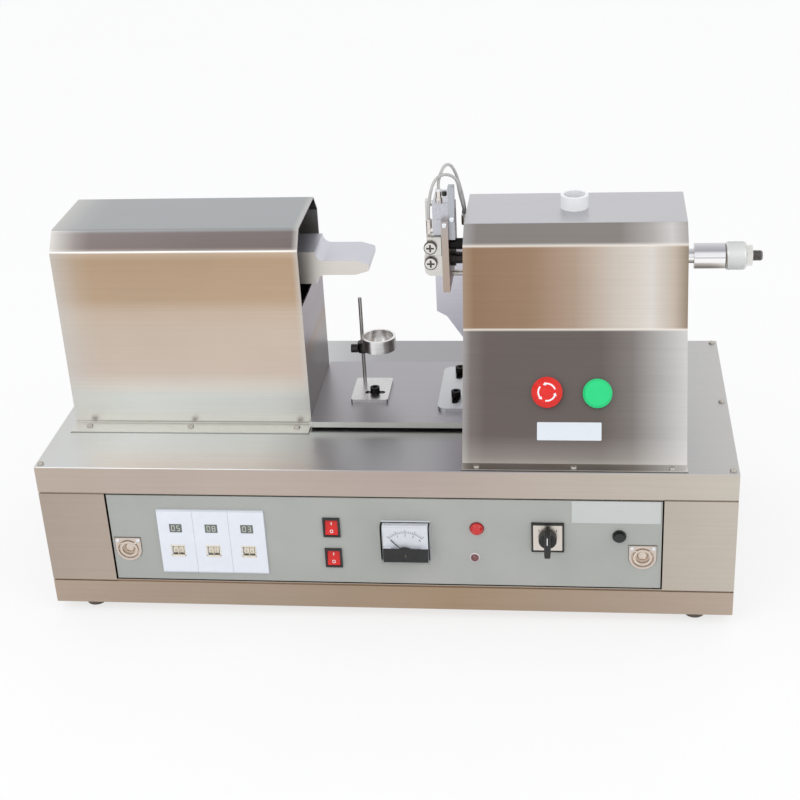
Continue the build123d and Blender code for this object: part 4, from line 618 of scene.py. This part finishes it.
white = moulded("white_plastic", srgb(243, 243, 244), 0.35)
black = moulded("black_plastic", srgb(32, 32, 33), 0.4, change=0.3)
straight_y = -0.0085
elbow_x = 0.0858
tower_collar = [(0.0, 0.0033), (0.0006, 0.0037), (0.0018, 0.0037), (0.0022, 0.0033),
                (0.0022, 0.0022)]
for name, spot, rings, material, body, count in (
        ("release_collar_white", (0.0563, straight_y, 0.5318),
         [(0.0, 0.0036), (0.0012, 0.0042), (0.0032, 0.0042), (0.0038, 0.0036), (0.0038, 0.0023)],
         white, "head", 48),
        ("fitting_sleeve_black", (0.0640, straight_y, 0.5262),
         [(0.0, 0.0026), (0.0006, 0.0031), (0.0052, 0.0031), (0.0058, 0.0026)], black, "head", 40),
        ("release_collar_elbow", (0.0428, -0.0145, 0.4936),
         [(0.0, 0.0036), (0.0008, 0.0041), (0.0026, 0.0041), (0.0032, 0.0035), (0.0032, 0.0023)],
         nickel, "head", 48),
        ("release_collar_outer", (elbow_x, 0.0380, 0.4886), tower_collar, white, "cabinet", 40),
        ("release_collar_inner", (elbow_x, 0.0275, 0.4856), tower_collar, white, "cabinet", 40)):
    turned(name, spot, (0, 0, 1), rings, material, body, count, 0.5)

# Stroke adjuster: a polished barrel fixed in the tower, a thimble with a crossed knurl, a lock
# nut and a spindle with a fine thread, which sets how far the ram comes out.
# The barrel's colour is painted by which way its surface faces: painted highlights and a dark
# painted reflection band.
dress(brushed("adjuster_chrome", lambda at, facing: across(facing[2], -1.0, 1.0).ramp(
    (0.0, 150, 142, 136), (0.14, 160, 150, 143), (0.26, 214, 208, 203),
    (0.42, 250, 248, 247), (0.56, 250, 250, 251), (0.6, 186, 185, 190),
    (0.64, 244, 244, 247), (0.76, 232, 232, 237), (0.84, 168, 167, 173),
    (0.93, 182, 182, 188), (1.0, 206, 206, 211)), 0.16, 0.04),
      "adjuster_barrel")
knurled = plain_metal("thimble_chrome", srgb(212, 213, 213), 0.3, 900, change=0.08)
barrel_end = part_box("adjuster_barrel")[1].x
thimble_r, thimble_edge_r, bevel_r = 0.0182, 0.0155, 0.0172
grip_r, knurl_depth, knurl_pitch = 0.0184, 0.00036, 1900
diamonds, grip_start, grip_end, grip_step = 56, 0.0035, 0.0235, 0.0005


def knurl(height):
    """The thimble's radius at each angle, cut with crossing grooves where it is gripped."""
    def radius(angle):
        if not grip_start < height < grip_end:
            return thimble_r
        phase = height * knurl_pitch
        cut = max(math.cos(diamonds * angle + phase), math.cos(diamonds * angle - phase))
        return grip_r - knurl_depth * (0.5 + 0.5 * cut)
    return radius


thimble_rings = [(0.0, thimble_edge_r), (0.0008, bevel_r), (0.0024, thimble_r)]
thimble_rings += [(grip_start + step * grip_step, knurl(grip_start + step * grip_step))
                  for step in range(41)]
thimble_rings += [(0.0246, thimble_r), (0.0262, bevel_r), (0.027, thimble_edge_r), (0.027, 0.0072)]
thimble = turned("thimble_knurled", (barrel_end + 0.0003, head_y, head_z), (1, 0, 0),
                 thimble_rings, knurled, "thimble", 336, 0.9)
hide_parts("adjuster_thimble")
dress(plain_metal("nut_zinc", srgb(214, 212, 208), 0.25), "lock_nut")
spindle_low, spindle_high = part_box("adjuster_spindle")
spindle_length = spindle_high.x - spindle_low.x
thread_foot = spindle_high.x - 0.032 - spindle_low.x
plain_r, root_r, crest_r, end_r = 0.0069, 0.0063, 0.007, 0.0062
thread_rings = [(0.0, end_r), (0.0008, plain_r), (thread_foot, plain_r)]
turns, thread_pitch = 20, 0.0015
for turn in range(turns):
    foot = thread_foot + turn * thread_pitch
    thread_rings += [(foot + 0.0002, root_r), (foot + 0.0006, crest_r), (foot + 0.0009, crest_r),
                     (foot + 0.0014, root_r)]
thread_rings += [(spindle_length - 0.0008, end_r), (spindle_length, 0.0052)]
spindle = turned("spindle_threaded", (spindle_low.x, head_y, head_z), (1, 0, 0),
                 thread_rings, plain_metal("thread_steel", srgb(112, 110, 109), 0.34, 900,
                                           change=0.4), "spindle", 64, 0.5)
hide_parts("adjuster_spindle")

# Tube holder: a slotted foot on the bed plate, a thin post, a black arm with a thumb knob, and
# a bright turned cup that holds the tube by its cap.
dress(plain_metal("post_steel", srgb(170, 168, 166), 0.3, 600, (1.0, 1.0, 0.05)), "post")
dress(plain_metal("holder_steel", srgb(198, 197, 197), 0.3), "post_base")
dress(plain_metal("arm_black", srgb(60, 58, 58), 0.42, change=0.4), "holder_arm", "clamp_knob")
dress(plain_metal("cup_steel", srgb(220, 219, 218), 0.24, 600, (0.05, 0.05, 1.0)), "tube_cup")

# Spare cup: a white moulded ring parked on a stud on top of the tower.
dress(white, "spare_cup")

# Emergency stop: a red mushroom head that latches when it is pressed, with three white arrows
# around its face that show which way it turns to release.
red = moulded("stop_red", srgb(228, 26, 14), 0.28)
dress(red, "stop_head")
dress(black, "stop_stem", "button_collars")
slope_out = Vector((0.0, -0.88460, 0.46633))
slope_up = Vector((0.0, 0.46633, 0.88460))
slope_foot = Vector((-0.0177, -0.1805, 0.225))


def on_slope(x, up, out):
    """A place on the tower's sloping face, from the cabinet's middle line and the slope's foot."""
    return slope_foot + Vector((x, 0, 0)) + slope_up * up + slope_out * out


def outline_plate(name, outline, thick, edge, place_point, material, body):
    """A thin plate with a small chamfer. Its outline is a list of points (across, up), and
    place_point puts a point (across, up, out) into the machine's frame."""
    middle = (sum(p[0] for p in outline) / len(outline), sum(p[1] for p in outline) / len(outline))
    inner = []
    for sideways, up in outline:
        away = Vector((sideways - middle[0], up - middle[1]))
        inner.append(Vector((sideways, up)) - away.normalized() * edge)
    count = len(outline)
    points = [place_point(a, u, 0.0) for a, u in outline]
    points += [place_point(a, u, thick - edge) for a, u in outline]
    points += [place_point(a, u, thick) for a, u in inner]
    faces = ring_faces(3, count)
    faces += [tuple(range(2 * count, 3 * count)), tuple(reversed(range(count)))]
    return mesh_piece(name, points, faces, material, body, 0.4)


def box_outline(x0, x1, z0, z1, corner=0.0):
    """A rectangle with round corners, as a list of points."""
    points, steps = [], 4
    for cx, cz, turn in ((x1, z1, 0), (x0, z1, 1), (x0, z0, 2), (x1, z0, 3)):
        sx, sz = (1 if turn in (0, 3) else -1), (1 if turn in (0, 1) else -1)
        for step in range(steps + 1):
            angle = math.pi / 2 * (turn + step / steps)
            points.append((cx - sx * corner + corner * math.cos(angle),
                           cz - sz * corner + corner * math.sin(angle)))
    return points


stop_x, stop_up = 0.2155, 0.0925
arrow_outer_r, arrow_inner_r, arrow_steps = 0.0118, 0.0098, 12
barb_r, tip_r, notch_r, tip_lead = 0.0133, 0.0108, 0.0083, 0.34
stop_face = max((Vector(v.co) - slope_foot).dot(slope_out)
                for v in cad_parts["stop_head"].data.vertices)
for number in range(3):
    begin, sweep = math.radians(120 * number + 20), math.radians(78)
    tip = begin + sweep
    arc = [begin + sweep * step / arrow_steps for step in range(arrow_steps + 1)]
    rim = [(arrow_outer_r, a) for a in arc]
    rim += [(barb_r, tip), (tip_r, tip + tip_lead), (notch_r, tip)]
    rim += [(arrow_inner_r, a) for a in reversed(arc)]
    points = [(r * math.cos(a), r * math.sin(a)) for r, a in rim]
    outline_plate(f"stop_arrow_{number}", points, 0.0003, 0.0,
                  lambda a, u, out: on_slope(stop_x + a, stop_up + u, stop_face - 0.0001 + out),
                  white, "stop_head")
turned("stop_centre", on_slope(stop_x, stop_up, stop_face - 0.0001), slope_out, [
    (0.0, 0.0062), (0.0006, 0.0062), (0.0011, 0.0055), (0.0014, 0.004), (0.0015, 0.001)],
    red, "stop_head", 48, 0.4)

# Start button: a green moulded mushroom on a black collar.
dress(moulded("start_green", srgb(20, 214, 128), 0.3), "start_button")

# Label plate below the two buttons: a white plastic plate, glued on, its words left out.
label_white = moulded("label_white", srgb(222, 229, 235), 0.3, change=0.02)
outline_plate("button_label", box_outline(0.2027, 0.284, 0.032, 0.055, 0.0012), 0.0008, 0.0002,
              lambda a, u, out: on_slope(a, u, out + 0.0001), label_white, "cabinet")

# Control panel: sheet with greenish grey satin paint, and a bare name plate glued on at its
# upper right corner.
paint, place = blank("panel_paint")
cloud, skin = noise(place, 7), noise(place, 900)
shade(place, cloud.ramp((0.3, 162, 164, 159), (0.7, 172, 173, 168)),
      0.42 + skin * 0.1, skin, 0.00002)
dress(paint, "control_panel")
panel_y = -0.1965


def on_panel(x, z, out):
    """A place in front of the panel, or of a face that stands off it."""
    return Vector((x, panel_y - out, z))


outline_plate("name_plate", box_outline(0.2290, 0.3416, 0.1505, 0.1828, 0.0008), 0.0005, 0.0001,
              on_panel, moulded("plate_pale", srgb(196, 199, 196), 0.3, change=0.02), "drawer")

# Timers: three white plastic instruments side by side. Each has a sunk display with two light
# digits built of bars, and a beige window with two numbered thumb wheels.
timer_white = moulded("timer_white", srgb(228, 232, 240), 0.4)
dress(timer_white, "timer_cases")
beige = moulded("wheel_beige", srgb(232, 224, 206), 0.4)
dress(beige, "wheels_left", "wheels_middle", "wheels_right")
display_grey = moulded("display_grey", srgb(104, 110, 104), 0.25)
digit_light = moulded("digit_light", srgb(214, 216, 206), 0.3)
numeral_brown = moulded("numeral_brown", srgb(146, 131, 112), 0.5)
timer_face, display_z, window_z = 0.003, 0.1351, 0.1005
display_half_w, display_half_h, digit_in = 0.0082, 0.0062, 0.0035
segment_x, segment_z, segment_half, wide_more, tall_more = 0.0019, 0.0038, 0.0004, 0.0012, 0.0013
wheel_in, seam_half = 0.00365, 0.0238
segment_bars = {"top": (0, 1, 1, 0), "left_high": (-1, 0.5, 0, 1), "right_high": (1, 0.5, 0, 1),
                "middle": (0, 0, 1, 0), "left_low": (-1, -0.5, 0, 1), "right_low": (1, -0.5, 0, 1),
                "bottom": (0, -1, 1, 0)}
shown = {"left": ("0", "5"), "middle": ("0", "8"), "right": ("0", "3")}
lit = {"0": "top left_high right_high left_low right_low bottom",
       "3": "top right_high middle right_low bottom",
       "5": "top left_high middle right_low bottom",
       "8": "top left_high right_high middle left_low right_low bottom"}


def sides_about(x, z, half_x, half_z):
    """The four sides of a rectangle, from its middle and its half sizes."""
    return x - half_x, x + half_x, z - half_z, z + half_z


def bars_together(name, boxes, place_point, material, body):
    """One piece from many small raised bars, each (x0, x1, z0, z1, out0, out1)."""
    points, faces = [], []
    for x0, x1, z0, z1, out0, out1 in boxes:
        base = len(points)
        points += [place_point(x, z, out) for out in (out0, out1)
                   for x, z in ((x0, z0), (x1, z0), (x1, z1), (x0, z1))]
        faces += [tuple(base + i for i in face) for face in (
            (4, 5, 6, 7), (0, 3, 2, 1), (0, 1, 5, 4), (1, 2, 6, 5), (2, 3, 7, 6), (3, 0, 4, 7))]
    return mesh_piece(name, points, faces, material, body, 0.4)


def numeral(text, size, depth):
    """Points and faces of a raised number, in its own flat frame."""
    letters = bpy.data.curves.new("numeral", "FONT")
    letters.body, letters.size, letters.extrude = text, size, depth / 2
    letters.align_x, letters.align_y, letters.resolution_u = "CENTER", "CENTER", 3
    holder = bpy.data.objects.new("numeral", letters)
    scene.collection.objects.link(holder)
    bpy.context.view_layer.update()
    solid = bpy.data.meshes.new_from_object(
        holder.evaluated_get(bpy.context.evaluated_depsgraph_get()))
    bpy.data.objects.remove(holder)
    return [v.co.copy() for v in solid.vertices], [tuple(f.vertices) for f in solid.polygons]


def numerals_together(name, marks, material, body):
    """One piece from numbers, each a text, a size and a function that places its points."""
    points, faces = [], []
    for text, size, depth, place_point in marks:
        spots, rings = numeral(text, size, depth)
        faces += [tuple(len(points) + i for i in ring) for ring in rings]
        points += [place_point(spot) for spot in spots]
    return mesh_piece(name, points, faces, material, body, 0.4)


def on_wheel(x, turn):
    """Puts a numeral on the rim of a thumb wheel, turned so far about its pin."""
    pin_y, r = -0.1893, 0.009
    return lambda spot: Vector((x + spot.x, pin_y - (r + spot.z) * math.cos(turn + spot.y / r),
                                window_z + (r + spot.z) * math.sin(turn + spot.y / r)))


for side, timer_x in (("left", -0.2917), ("middle", -0.2437), ("right", -0.1957)):
    outline_plate(f"display_{side}", box_outline(
        *sides_about(timer_x, display_z, display_half_w, display_half_h), 0.0006), 0.0006, 0.0001,
        lambda a, u, out: on_panel(a, u, timer_face - 0.0008 + out), display_grey, "drawer")
    boxes = []
    for digit, centre_x in zip(shown[side], (timer_x - digit_in, timer_x + digit_in)):
        for bar in lit[digit].split():
            right, up, wide, tall = segment_bars[bar]
            mid_x, mid_z = centre_x + right * segment_x, display_z + up * segment_z
            half_x, half_z = segment_half + wide * wide_more, segment_half + tall * tall_more
            boxes.append((*sides_about(mid_x, mid_z, half_x, half_z),
                          timer_face - 0.0003, timer_face + 0.0001))
    bars_together(f"display_digits_{side}", boxes, on_panel, digit_light, "drawer")
    rim = []
    for x0, x1, z0, z1 in ((-0.0096, 0.0096, 0.0072, 0.009), (-0.0096, 0.0096, -0.009, -0.0064),
                           (-0.0096, -0.0083, -0.0076, 0.0076), (0.0083, 0.0096, -0.0076, 0.0076),
                           (-0.0003, 0.0003, -0.0076, 0.0076)):
        rim.append((timer_x + x0, timer_x + x1, window_z + z0, window_z + z1,
                    timer_face - 0.0006, timer_face + 0.0005))
    bars_together(f"wheel_window_{side}", rim, on_panel, beige, "drawer")
    marks = [(str(digit), 0.0052, 0.0003, on_wheel(x, math.radians(36 * digit)))
             for x in (timer_x - wheel_in, timer_x + wheel_in) for digit in range(10)]
    numerals_together(f"wheel_numbers_{side}", marks, numeral_brown, f"wheels_{side}")
    bars_together(f"timer_edges_{side}", [
        (timer_x - seam_half, timer_x + seam_half, foot, top,
         timer_face - 0.0002, timer_face + 0.0002)
        for foot, top in ((0.0672, 0.0678), (0.1612, 0.1618))],
        on_panel, moulded(f"timer_seam_{side}", srgb(196, 202, 212), 0.4), "drawer")

# Rockers: two red power switches in black frames, each with the marks for on and off.
rocker_red = moulded("rocker_red", srgb(212, 26, 20), 0.22)
dress(rocker_red, "rocker_upper", "rocker_lower")
dress(black, "panel_bezels", "test_button")
rocker_x, rocker_tilt = -0.0828, math.radians(10)
for name, rocker_z in (("upper", 0.1386), ("lower", 0.0920)):
    outward = Vector((0.0, -math.cos(rocker_tilt), math.sin(rocker_tilt)))
    upward = Vector((0.0, math.sin(rocker_tilt), math.cos(rocker_tilt)))
    middle = Vector((rocker_x, panel_y + 0.0015, rocker_z))

    def on_rocker(a, u, out):
        """A place in front of the rocker's two sloping halves."""
        return middle + Vector((a, 0, 0)) + upward * u + outward * (
            0.0022 + abs(u) * 0.0943 + out)

    bars_together(f"rocker_on_{name}", [(-0.0005, 0.0005, 0.0032, 0.0072, -0.0001, 0.0002)],
                  on_rocker, white, f"rocker_{name}")
    ring = [(*sides, -0.0001, 0.0002) for sides in (
        (-0.0016, 0.0016, -0.0077, -0.0070), (-0.0016, 0.0016, -0.0043, -0.0036),
        (-0.0020, -0.0013, -0.0072, -0.0041), (0.0013, 0.0020, -0.0072, -0.0041))]
    bars_together(f"rocker_off_{name}", ring, on_rocker, white, f"rocker_{name}")

# Meter: a moving coil instrument in a white case, with a printed dial, a black mask over the
# needle's pivot, which a slotted screw holds, and a clear front.
meter_white = moulded("meter_white", srgb(232, 235, 242), 0.4)
dress(meter_white, "meter_case")
dress(moulded("needle_black", srgb(30, 26, 26), 0.4, change=0.3), "meter_needle")
clear, place = blank("clear_acrylic")
smear = noise(place, 80)
shade(place, smear.ramp((0.3, (0.97, 0.98, 0.98, 1)), (0.7, (1, 1, 1, 1))), 0.03 + smear * 0.04,
      smear, 0.000004, IOR=1.1, Transmission_Weight=1.0)
dress(clear, "meter_cover")
meter_x, dial_y, mask_y, pivot_z = 0.0148, -0.2055, -0.2102, 0.1072


def on_dial(x, z, out):
    """A place in front of the meter's dial."""
    return Vector((x, dial_y - out, z))


tick_foot, scale_start, scale_marks = 0.0300, 135, []
for step in range(21):
    angle = math.radians(scale_start - 4.5 * step)
    along = Vector((math.cos(angle), math.sin(angle)))
    side = Vector((-math.sin(angle), math.cos(angle)))
    outer, half = (0.0330, 0.00016) if step % 5 else (0.0345, 0.00028)
    scale_marks.append([along * r + side * s for r, s in (
        (tick_foot, -half), (outer, -half), (outer, half), (tick_foot, half))])
points, faces = [], []
for tick in scale_marks:
    base = len(points)
    points += [on_dial(meter_x + p.x, pivot_z + p.y, out) for out in (0.00002, 0.00012)
               for p in tick]
    faces += [tuple(base + i for i in face) for face in (
        (4, 5, 6, 7), (0, 1, 5, 4), (1, 2, 6, 5), (2, 3, 7, 6), (3, 0, 4, 7))]
ink = moulded("scale_ink", srgb(52, 50, 56), 0.5)
mesh_piece("meter_ticks", points, faces, ink, "drawer", 0.4)
arc_steps, points = 40, []
for step in range(arc_steps + 1):
    angle = math.radians(scale_start - 90 * step / arc_steps)
    points += [on_dial(meter_x + r * math.cos(angle), pivot_z + r * math.sin(angle), 0.0001)
               for r in (0.0298, 0.0302)]
faces = [(2 * i, 2 * i + 1, 2 * i + 3, 2 * i + 2) for i in range(arc_steps)]
mesh_piece("meter_arc", points, faces, ink, "drawer", 0.4)


def on_scale(angle, r):
    """Puts a numeral beside the meter's scale."""
    return lambda spot: on_dial(meter_x + r * math.cos(angle) + spot.x,
                                pivot_z + r * math.sin(angle) + spot.y, 0.00008 + spot.z)


numerals_together("meter_numbers", [
    (text, 0.0046, 0.0001, on_scale(math.radians(scale_start - 22.5 * step), 0.0262))
    for step, text in enumerate(("0", "1", "2", "3", "4"))], ink, "drawer")
mask_black = moulded("mask_black", srgb(24, 24, 26), 0.25)
mask_half, mask_foot, mask_top, bump_r, bump_z = 0.0296, 0.0952, 0.1158, 0.0118, 0.1068
mask_outline = [(meter_x - mask_half, mask_foot), (meter_x + mask_half, mask_foot),
                (meter_x + mask_half, mask_top)]
mask_outline += [(meter_x + bump_r * math.cos(a), bump_z + bump_r * math.sin(a))
                 for a in [math.radians(50 + 5 * step) for step in range(17)]]
mask_outline.append((meter_x - mask_half, mask_top))
outline_plate("meter_mask", mask_outline, 0.0005, 0.0,
              lambda a, u, out: Vector((a, mask_y - 0.0001 - out, u)), mask_black, "drawer")
turned("mask_screw", (meter_x, mask_y - 0.0006, 0.1052), (0, -1, 0), [
    (0.0, 0.0024), (0.0005, 0.0024), (0.0009, 0.0019), (0.0009, cross_recess(0.0002, 0.0017)),
    (0.0005, cross_recess(0.0002, 0.0017))], dark_ring, "drawer", 48, 0.4)

# Lamps: a red panel lamp with a turned lens, and below it a small dark red light in a pale ring.
lamp_finish, place = blank("lamp_red")
cloud, skin = noise(place, 120), noise(place, 900)
big = axes(place)[2].above(0.118)
shade(place, big.between(srgb(110, 52, 56), srgb(198, 10, 8)).times(0.86 + cloud * 0.28),
      0.1 + skin * 0.1, skin, 0.00002, Coat_Weight=0.6)
dress(lamp_finish, "indicator_lamps")
ring_pale = moulded("ring_pale", srgb(216, 208, 210), 0.3)
turned("small_light_ring", (0.1037, panel_y, 0.096), (0, -1, 0), [
    (0.0, 0.0068), (0.0008, 0.0068), (0.0013, 0.0063), (0.0013, 0.0052), (0.0004, 0.0052)],
    ring_pale, "drawer", 48, 0.4)
turned("lamp_ring", (0.1073, panel_y, 0.140), (0, -1, 0), [
    (0.0, 0.0095), (0.0006, 0.0095), (0.0012, 0.0089), (0.0012, 0.0084), (0.0004, 0.0084)],
    moulded("ring_dark", srgb(120, 44, 42), 0.3), "drawer", 56, 0.4)

# Cam switch: a black frame holds a silver face plate with dial ticks, and the black knob has a
# long grip with a white pointer line.
dress(black, "cam_knob")
cam_x, cam_z, cam_face = 0.1986, 0.1288, 0.003
face_half, tick_r, tick_half_w, tick_half_h = 0.0186, 0.0158, 0.0004, 0.0016
grip_half_w, grip_half_h = 0.0041, 0.0166
silver_face = plain_metal("cam_face", srgb(214, 206, 198), 0.32, change=0.06)
outline_plate("cam_face_plate",
              box_outline(*sides_about(cam_x, cam_z, face_half, face_half), 0.001), 0.0004, 0.0001,
              lambda a, u, out: on_panel(a, u, cam_face - 0.0001 + out), silver_face, "drawer")
ticks = []
for angle in (135, 90, 45):
    a = math.radians(angle)
    ticks.append((*sides_about(cam_x + tick_r * math.cos(a), cam_z + tick_r * math.sin(a),
                               tick_half_w, tick_half_h), cam_face + 0.0002, cam_face + 0.0005))
bars_together("cam_ticks", ticks, on_panel, black, "drawer")
turned("cam_skirt", (cam_x, panel_y - cam_face - 0.0011, cam_z), (0, -1, 0), [
    (0.0, 0.0119), (0.001, 0.0119), (0.0024, 0.0118), (0.0040, 0.0117), (0.0066, 0.0116),
    (0.0078, 0.0106)], black, "cam_knob", 72, 0.5)
outline_plate("cam_grip", box_outline(*sides_about(cam_x, cam_z, grip_half_w, grip_half_h), 0.0036),
              0.0162, 0.0011,
              lambda a, u, out: on_panel(a, u, cam_face + 0.0082 + out), black, "cam_knob")
bars_together("cam_pointer", [(cam_x - 0.0005, cam_x + 0.0005, cam_z + 0.0040, cam_z + 0.0145,
                               0.02735, 0.0276)], on_panel, white, "cam_knob")

# Ring pulls: satin chromed D-shaped plates with a dished ring around a low dome, each plate held
# by two bright screws.
pull = plain_metal("pull_chrome", srgb(206, 194, 183), 0.28)
pull_finish, place = blank("pull_plate")
# Faces deeper in the plate are painted pale and matte instead of chrome: a painted highlight in the
# dish.
depth = across(axes(place)[1], panel_y + 0.0002, panel_y + 0.004)
marks = noise(place, 300)
shade(place, depth.ramp((0.0, 206, 194, 184), (0.4, 206, 194, 184),
                        (0.6, 248, 234, 220), (1.0, 250, 236, 222)).times(
    0.9 + marks * 0.2), 0.3 + marks * 0.1, marks, 0.00001,
      Metallic=depth.ramp((0.4, grey(0.55)), (0.6, grey(0.0))))
dress(pull_finish, "pull_plates")
dress(pull, "ring_left", "ring_right")
# A dark rim around each plate on the panel, widest above and at the sides: a painted shadow of the
# plate.
shadow_rim = moulded("pull_shadow_rim", srgb(96, 92, 86), 0.5)
pull_z, pull_r, rim_sideways, rim_below, rim_above = 0.100, 0.0175, 0.0007, 0.0004, 0.001
rim_t, rim_inner = 0.0006, 0.9
for side, pull_x in (("left", -0.3604), ("right", 0.3199)):
    shape = [(pull_x + (pull_r + rim_sideways) * math.cos(a),
              pull_z + (pull_r + rim_below) * math.sin(a))
             for a in [math.pi + math.pi * step / 32 for step in range(33)]]
    shape += [(pull_x + pull_r + rim_sideways, pull_z + pull_r + rim_above),
              (pull_x - pull_r - rim_sideways, pull_z + pull_r + rim_above)]
    points = []
    for share, out in ((1.0, 0.0), (1.0, rim_t), (rim_inner, rim_t), (rim_inner, 0.0)):
        points += [on_panel(pull_x + (a - pull_x) * share, pull_z + (u - pull_z) * share, out)
                   for a, u in shape]
    mesh_piece(f"pull_shadow_rim_{side}", points, ring_faces(4, len(shape), True), shadow_rim, "drawer",
               0.4)
    turned(f"pull_dome_{side}", (pull_x, panel_y + 0.0059, pull_z - 0.0006), (0, -1, 0), [
        (0.0, 0.0068), (0.0012, 0.0067), (0.0019, 0.006), (0.0023, 0.0046), (0.0025, 0.002)],
        pull, "drawer", 56, 0.6)
    for end in (-1, 1):
        cross_head(f"pull_screw_{side}_{'inner' if end > 0 else 'outer'}",
                   (pull_x + end * 0.0138, panel_y - 0.0011, pull_z + 0.0139), (0, -1, 0),
                   0.0024, 0.0013, bright_screw, "drawer")

# Drawer behind the panel: a galvanised tray with the generator's green board, its brown varnished
# transformer and its aluminium heat sink. The mains inlet sits in the cabinet's back.
dress(brushed("galvanised", even(srgb(168, 170, 172)), 0.42), "drawer_tray")
generator_finish, place = blank("generator_parts")
cloud, skin = noise(place, 60), noise(place, 700)
board_end, sink_start = 0.06, 0.1835
along_tray = axes(place)[0]
parts = along_tray.above(board_end).between(srgb(44, 92, 58), srgb(104, 66, 42))
parts = along_tray.above(sink_start).between(parts, srgb(150, 152, 156))
shade(place, parts.times(0.85 + cloud * 0.3), 0.35 + skin * 0.15, skin, 0.00003,
      Metallic=along_tray.above(sink_start) * 0.9)
dress(generator_finish, "generator_unit")
dress(black, "mains_inlet")
